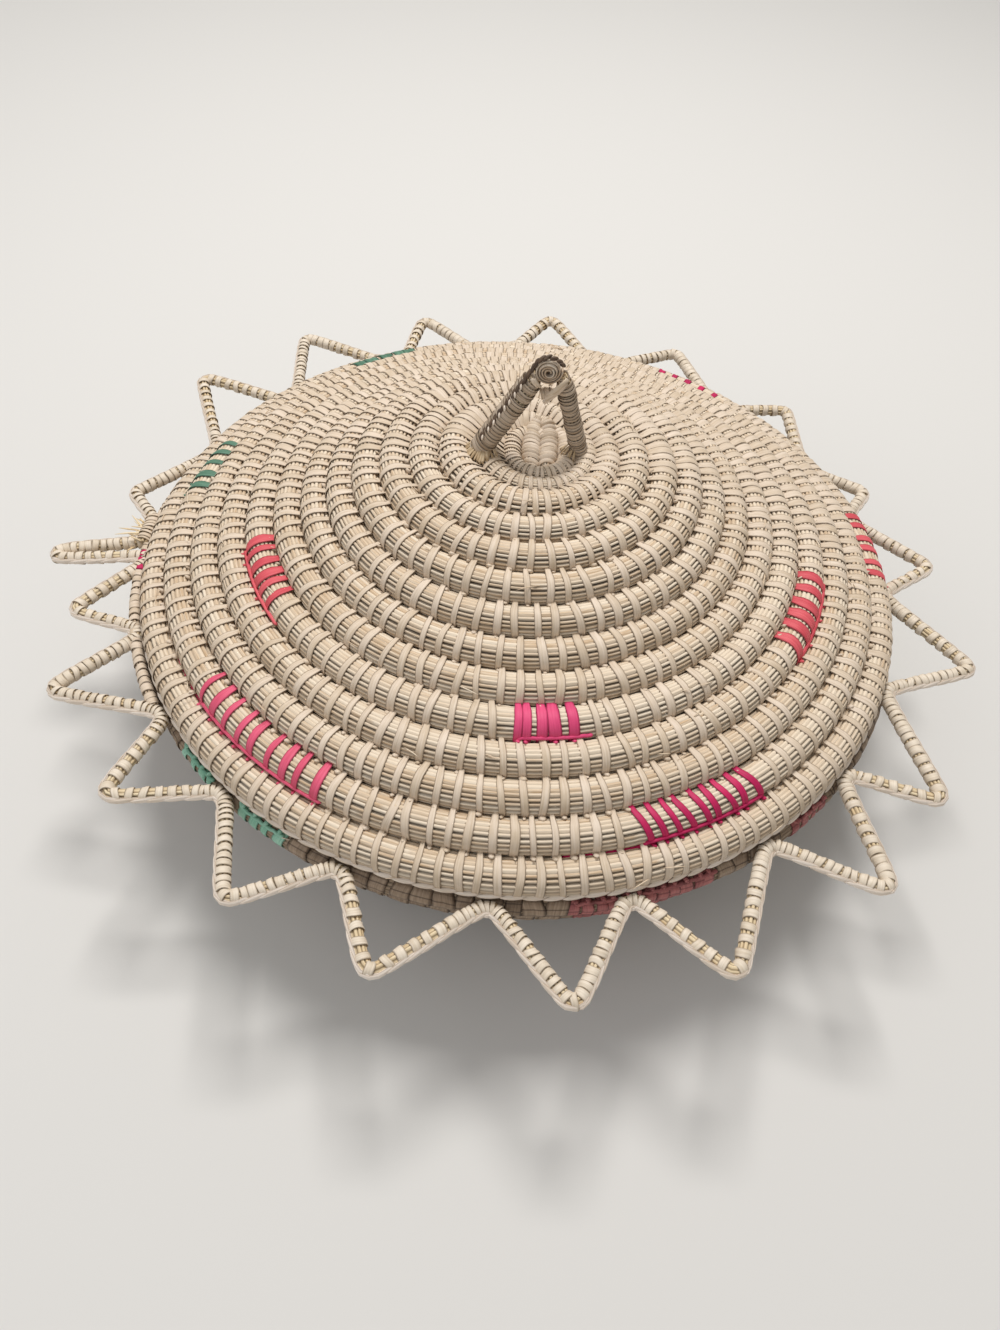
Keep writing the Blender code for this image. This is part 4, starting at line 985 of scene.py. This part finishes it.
def dress_border(base_path):
    """Cord with wide wraps and small windows, close wraps at the rim, and a chain outside."""
    route = border_route(base_path)
    path = cord_path(smooth(route, 4), BORDER_CORD)
    from_rim = np.hypot(path.centre[:, 0], path.centre[:, 1]) - BASE.seams[-1, 2]
    windows = ease(0.5 + 0.8 * np.sin(path.length * BORDER_WINDOWS_PER_M + BORDER_WINDOWS_FROM))
    on_arm = blend(BORDER_ARM_SPACING, BORDER_BAND_SPACING, windows)
    spacing = blend(BORDER_CLOSE_SPACING, on_arm,
                    ease((from_rim - BORDER_ARM_FROM_RIM) / BORDER_ARM_EASES_IN))
    path = sewn(path, spacing)
    add_bundle("border_stems", path, 3, 0.84, "cord_stems", BORDER, limit=BORDER_PIECE_RINGS)
    places = strip_places(path, 0.1)
    widths = np.minimum(np.interp(places, path.length, spacing) * 0.94, BORDER_BAND_WIDTH)
    widths = widths * rng.uniform(0.85, 1.15, len(places))
    leans = rng.normal(0.0, BORDER_WRAP_LEAN, len(places))
    add_strips("border_wraps", path, places, widths, leans, 0.86, "cord", BORDER, tilt=BORDER_WRAP_TILT)
    add_chain("border_chain", path, BORDER_CHAIN, "chain", BORDER)
    dress_border_join(route)


def dress_border_join(route):
    """Thick binding where the border's end meets its start, with frayed stem ends."""
    out = unit(np.array((*route[0][:2], 0.0)))
    first, last = (place + out * JOIN_BINDING * 0.3 for place in (route[0], route[-1]))
    along = unit(first - last)
    line = [last - along * JOIN_RUNS_ON, last, first, first + along * JOIN_RUNS_ON]
    path = sewn(cord_path(line, JOIN_BINDING), BORDER_CLOSE_SPACING)
    places = strip_places(path, 0.2)
    add_bundle("border_join_stems", path, 3, 0.8, "cord_stems", BORDER)
    add_strips("border_join_wraps", path, places, rng.uniform(*JOIN_WRAP_WIDTHS, len(places)),
               rng.normal(0.0, JOIN_WRAP_LEAN, len(places)), 0.84, "natural", BORDER, tilt=JOIN_WRAP_TILT)
    ends = []
    for _ in range(FRAYED_ENDS):
        start = last + along * rng.uniform(*FRAYED_RUN)
        start = start + rng.uniform(-FRAYED_SPREAD, FRAYED_SPREAD, 3)
        out = unit(np.array((-1.0, rng.uniform(-1.6, 1.2), rng.uniform(0.0, 0.4))))
        length = rng.uniform(*FRAYED_LENGTHS)
        ends.append([start, start + out * length * 0.5, start + out * length + rng.uniform(-MM, MM, 3)])
    add_threads("border_join_frayed_ends", ends, FRAYED_END, "cord_stems", BORDER)


def dress_rim_binding(base_path):
    """Closely wrapped binding on the rim, shown beyond the lid on the left."""
    low, high = RIM_BINDING_DEG
    rim = border_place(base_path, 0.0)
    radius = rim[0] + RIM_BINDING / 5
    route = [on_circle(radius, bearing, rim[2]) for bearing in np.linspace(low, high, 90)]
    path = sewn(cord_path(route, RIM_BINDING), RIM_STRIP_SPACING)
    places = strip_places(path, 0.15)
    leans = rng.normal(0.0, RIM_STRIP_LEAN, len(places))
    add_bundle("rim_binding_stems", path, 2, 0.92, "stems", BASE_ROWS)
    bearings = places / path.length[-1] * (high - low) + low
    magenta = np.abs(bearings - RIM_MAGENTA_DEG[0]) < RIM_MAGENTA_DEG[1]
    for name, chosen, finish in (("rim_binding_strips", ~magenta, "natural"),
                                 ("rim_magenta_strips", magenta, "magenta")):
        add_strips(name, path, places[chosen], rng.uniform(*RIM_STRIP_WIDTHS, int(chosen.sum())),
                   leans[chosen], 0.92, finish, BASE_ROWS)


# Edging and ring of the lid

def box_circle(node, first, last, count):
    """Part of the circle through the middle of a ring-shaped solid's section."""
    low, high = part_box(node)
    radius = high.x - (high.z - low.z) / 2
    middle = (low.z + high.z) / 2
    return [on_circle(radius, bearing, middle) for bearing in np.linspace(first, last, count)]


def dress_lid_edge():
    circle = box_circle("lid_edge_braid", 0.0, LID_CHAIN_END_DEG, 245)
    add_chain("lid_edge_chain", cord_path(circle, LID_CHAIN.thick), LID_CHAIN, "chain", LID_EDGE)


def dress_locating_ring():
    route = box_circle("lid_locating_ring", *RING_SECTOR_DEG, 200)
    path = sewn(cord_path(route, RING_THICKNESS), STRIP_SPACING)
    add_bundle("locating_ring_stems", path, 2, 0.84, "stems", LID_RING)
    places = strip_places(path)
    add_strips("locating_ring_strips", path, places, rng.uniform(*RING_STRIP_WIDTHS, len(places)),
               rng.normal(0.0, RING_STRIP_LEAN, len(places)), 0.86, "natural", LID_RING)


# The handle

roll_low, roll_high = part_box("handle_crown_roll")
ROLL_CENTRE = np.array((roll_low + roll_high) / 2)
ROLL_RADIUS = (roll_high.x - roll_low.x) / 2
ROLL_HALF_LENGTH = (roll_high.y - roll_low.y) / 2


def beside_roll(x, y, z):
    return ROLL_CENTRE + np.array((x, y, z)) * ROLL_RADIUS


def wrap_cord(name, route, thickness, spacing, width, lean, finish, solid, narrow_end=0.0, share=0.86):
    """A bundle wrapped so closely that each strip's edge lies over the next."""
    path = sewn(cord_path(route, thickness), spacing)
    tapered = 1.0 - narrow_end * ease((path.length - path.length[-1]) / thickness + 1.0)
    path = path._replace(half=path.half * tapered)
    add_bundle(name + "_stems", path, 1, share - 0.02, "cord_stems", solid)
    places = strip_places(path, 0.15)
    widths = width * rng.uniform(0.85, 1.2, len(places))
    add_strips(name + "_wraps", path, places, widths, lean * rng.uniform(0.5, 1.4, len(places)), share,
               finish, solid, tilt=CORD_WRAP_TILT)


def dress_leg(leg):
    """A leg from its foot over its ankle into the roll; gives its ankle and its upper end."""
    node = f"handle_{leg.side}_leg"
    foot = np.array((*leg.foot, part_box(node)[0].z))
    ankle = foot + UP * (leg.thick * ANKLE_SHARE)
    top = beside_roll(leg.flank[0], 0.0, leg.flank[1])
    along = unit(top - ankle)
    route = [foot - along * LEG_RUNS_DOWN, ankle, top, top + along * LEG_RUNS_IN]
    wrap_cord("handle_" + leg.side, route, leg.thick, LEG_STRIP_SPACING, LEG_STRIP_WIDTH, leg.lean, "leg",
              ("lid", "natural_cord", node), LEG_NARROWS_SHARE, leg.share)
    dress_foot(leg, foot, ankle, along)
    return ankle, top


def dress_tail(right_top):
    """The wrap's cut end crosses from the right leg's top to a short stub under the roll."""
    low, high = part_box("handle_tail")
    middle = (low.y + high.y) / 2
    upper = high.z - TAIL_THICKNESS / 2
    stub = [(high.x, middle, upper), ((low.x + high.x) / 2, middle, upper),
            (low.x, middle, low.z + TAIL_THICKNESS / 2)]
    wrap_cord("handle_tail", stub, TAIL_THICKNESS, TAIL_WRAP_SPACING, TAIL_WRAP_WIDTH, TAIL_WRAP_LEAN,
              "natural", HANDLE_TAIL)
    front = -RIGHT.thick * 0.62
    top = right_top + np.array((RIGHT.thick * 0.1, front, RIGHT.thick * 0.25))
    end = np.array((low.x + TAIL_THICKNESS * 0.45, front * 0.95, low.z + TAIL_THICKNESS * 0.85))
    middle = blend(top, end, 0.5) + np.array((0.0, front * 0.22, 0.0))
    bands = []
    for shift in (-0.36, 0.0, 0.36):
        across = np.array((0.35, 0.0, 1.0)) * TAIL_THICKNESS * shift
        bands.append([top + across, middle + across, end + across])
    for shift in (0.0, 0.16):
        bands.append([beside_roll(-1.12 + shift, -0.75, -0.35), beside_roll(-0.90 + shift, -0.85, -0.70),
                      beside_roll(-0.62 + shift, -0.72, -1.00)])
    add_threads("handle_tail_bands", bands, TAIL_BANDS, "natural", HANDLE_TAIL, flat=2.4, tip=0.95)


def dress_roll():
    """The crown roll is one flat strip wound on itself, so its two ends show the turns."""
    turn = np.linspace(0.0, 2 * pi * ROLL_TURNS, ROLL_TURNS * 30)
    reach = np.linspace(ROLL_STRIP, ROLL_RADIUS - ROLL_STRIP / 2, len(turn))
    out = np.stack([np.cos(turn), np.zeros_like(turn), np.sin(turn)], 1)
    uneven = 0.16 * np.sin(turn * 0.37 + 1.0) ** 2
    half = ROLL_HALF_LENGTH * (1.0 - uneven - 0.4 * (reach / ROLL_RADIUS) ** 2)
    along, rise = np.array(((-1.0, -0.4), (1.0, -0.4), (0.97, 0.4), (0.0, 0.45), (-0.97, 0.4))).T
    points = (ROLL_CENTRE + out[:, None] * (reach[:, None] + rise * ROLL_STRIP)[..., None]
              + np.array((0.0, 1.0, 0.0)) * (half[:, None] * along)[..., None])
    # Painted shade: the edge mark darkens each turn's inner edge into a dark line between turns
    marks = surface_marks(0.5 + 0.5 * np.sin(turn * 0.8)[:, None], (turn * reach / MM)[:, None],
                          half[:, None] * along / MM, 1.0, edge=np.array((1.0, 1.0, 0.35, 0.0, 0.35)))
    make_piece("handle_roll_strip", points, tube_faces(1, len(turn), 5), marks, "roll", HANDLE_ROLL)


def dress_edging(ankle, top):
    """Stitched edging up the left leg's outer side and over the roll: dark loops, pale knots."""
    edge_low, edge_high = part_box("handle_edging")
    thick = edge_high.y - edge_low.y
    along = unit(top - ankle)
    outward = np.array((-along[2], 0.0, along[0]))
    forward = np.array((0.0, edge_low.y, 0.0))
    beside = outward * LEFT.thick * 0.42 + forward * 1.5
    places = [ankle + along * EDGING_FROM_FOOT + beside, top + along * thick / 2 + beside]
    for angle in np.radians(np.linspace(*EDGING_ARC_DEG, 8)):
        out = np.array((cos(angle), 0.0, sin(angle)))
        places.append(ROLL_CENTRE + out * (ROLL_RADIUS + thick * 0.1) + forward)
    path = cord_path(smooth(np.array(places), 2), thick)
    add_chain("handle_edging_loops", path, EDGING_LOOPS, "dark_stitch", HANDLE_EDGING)
    on_leg = part_of(path, path.length < np.linalg.norm(top - ankle) - EDGING_FROM_FOOT)
    add_chain("handle_edging_knots", on_leg, EDGING_KNOTS, "chain", HANDLE_EDGING)


def dress_foot(leg, foot, ankle, along):
    """Ends of the leg's wraps, splayed over the crown round the foot."""
    strands = []
    first, last, count = leg.strands
    for turn in np.radians(np.linspace(first, last, count)) + rng.uniform(-0.08, 0.08, count):
        out = np.array((cos(turn), sin(turn), 0.0))
        high = ankle + along * FOOT_RISE * rng.uniform(0.6, 1.2) + out * leg.thick * 0.5
        low = foot + out * (leg.thick / 2 + FOOT_SPREAD * rng.uniform(0.6, 1.1))
        knee = (high + low) / 2 + out * FOOT_BOW - UP * FOOT_DROP
        strands.append([high, knee, low + UP * FOOT_DROP, low - UP * FOOT_TUCK])
    add_threads(leg.side + "_foot_strands", strands, FOOT_STRAND * rng.uniform(0.8, 1.5, len(strands)),
                "foot", ("lid", "plaited_edge", leg.side + "_foot_stitches"))


def add_loose_ends(name, path, count, angles_deg, solid, fit=None):
    """Thin splinters that stand a little away from the rows."""
    routes = []
    for place in rng.uniform(0.03, 0.995, count) * path.length[-1]:
        centre, across, away, along, half = at(path, place, "centre across away along half")
        turn = radians(rng.uniform(*angles_deg))
        out = cos(turn) * across + sin(turn) * away
        start = centre + out * half * 0.99
        run = along * rng.choice((-1.0, 1.0))
        length = rng.uniform(*SPLINTER_LENGTHS)
        lift = rng.uniform(*SPLINTER_LIFTS)
        side = np.cross(out, run) * rng.uniform(-0.3, 0.3)
        route = np.array([start, start + (run + side / 2) * length / 2 + out * lift,
                          start + (run + side) * length + out * lift * 1.6])
        routes.append(fit(route) if fit else route)
    add_threads(name, routes, SPLINTER, "stems", solid)


lid_path = dress_lid()
base_path = dress_base()
dress_border(base_path)
dress_rim_binding(base_path)
dress_lid_edge()
dress_locating_ring()
left_ankle, left_top = dress_leg(LEFT)
right_ankle, right_top = dress_leg(RIGHT)
dress_roll()
dress_edging(left_ankle, left_top)
dress_tail(right_top)
add_loose_ends("lid_splinters", lid_path, 110, (20.0, 150.0), LID_ROWS)
add_loose_ends("base_splinters", base_path, 60, (-150.0, -30.0), BASE_ROWS, lift_off_floor)


# Camera, light and floor

FLOOR_COLOUR = "#DAD8D4"
FLOOR_ROUGHNESS = 0.8
FLOOR_SHEEN = 0.5
FLOOR_SIZE = 12.0
ROOM_COLOUR = "#F4F3F1"
ROOM_STRENGTH = 0.42
# Soft lamps: name, place, size, power and colour
LAMPS = (("window", (0.0, 0.55, 1.5), 0.45, 18.5, "#FFFDFB"),
         ("room_side", (-0.9, -0.8, 1.1), 1.4, 5.0, "#F5F8FF"))


def place_camera():
    data = bpy.data.cameras.new("camera")
    data.sensor_fit = "VERTICAL"
    data.sensor_height = CAMERA_SENSOR_MM
    data.lens = CAMERA_LENS_MM
    camera = put("camera", data)
    turn = Matrix.Rotation(radians(90.0 - CAMERA_DOWN_DEG), 4, "X")
    camera.matrix_world = (Matrix.Translation(CAMERA_PLACE) @ turn
                           @ Matrix.Rotation(radians(CAMERA_ROLL_DEG), 4, "Z"))
    bpy.context.scene.camera = camera


def lay_floor():
    """A plain pale table top."""
    material, sockets, *_ = new_finish("pale_floor", FLOOR_ROUGHNESS, FLOOR_SHEEN)
    sockets["Base Color"].default_value = srgb(FLOOR_COLOUR)
    bpy.ops.mesh.primitive_plane_add(size=FLOOR_SIZE)
    table = bpy.context.object
    table.name = "floor"
    table.data.materials.append(material)


def light_room():
    world = bpy.data.worlds.new("room")
    world.use_nodes = True
    light = world.node_tree.nodes["Background"].inputs
    light["Color"].default_value = srgb(ROOM_COLOUR)
    light["Strength"].default_value = ROOM_STRENGTH
    bpy.context.scene.world = world
    for name, place, size, power, colour in LAMPS:
        data = bpy.data.lights.new(name, "AREA")
        data.size = size
        data.energy = power
        data.color = srgb(colour)[:3]
        lamp = put(name, data)
        lamp.location = place
        lamp.rotation_euler = (-lamp.location).to_track_quat("-Z", "Y").to_euler()


place_camera()
lay_floor()
light_room()
bpy.context.scene.view_settings.view_transform = "Standard"
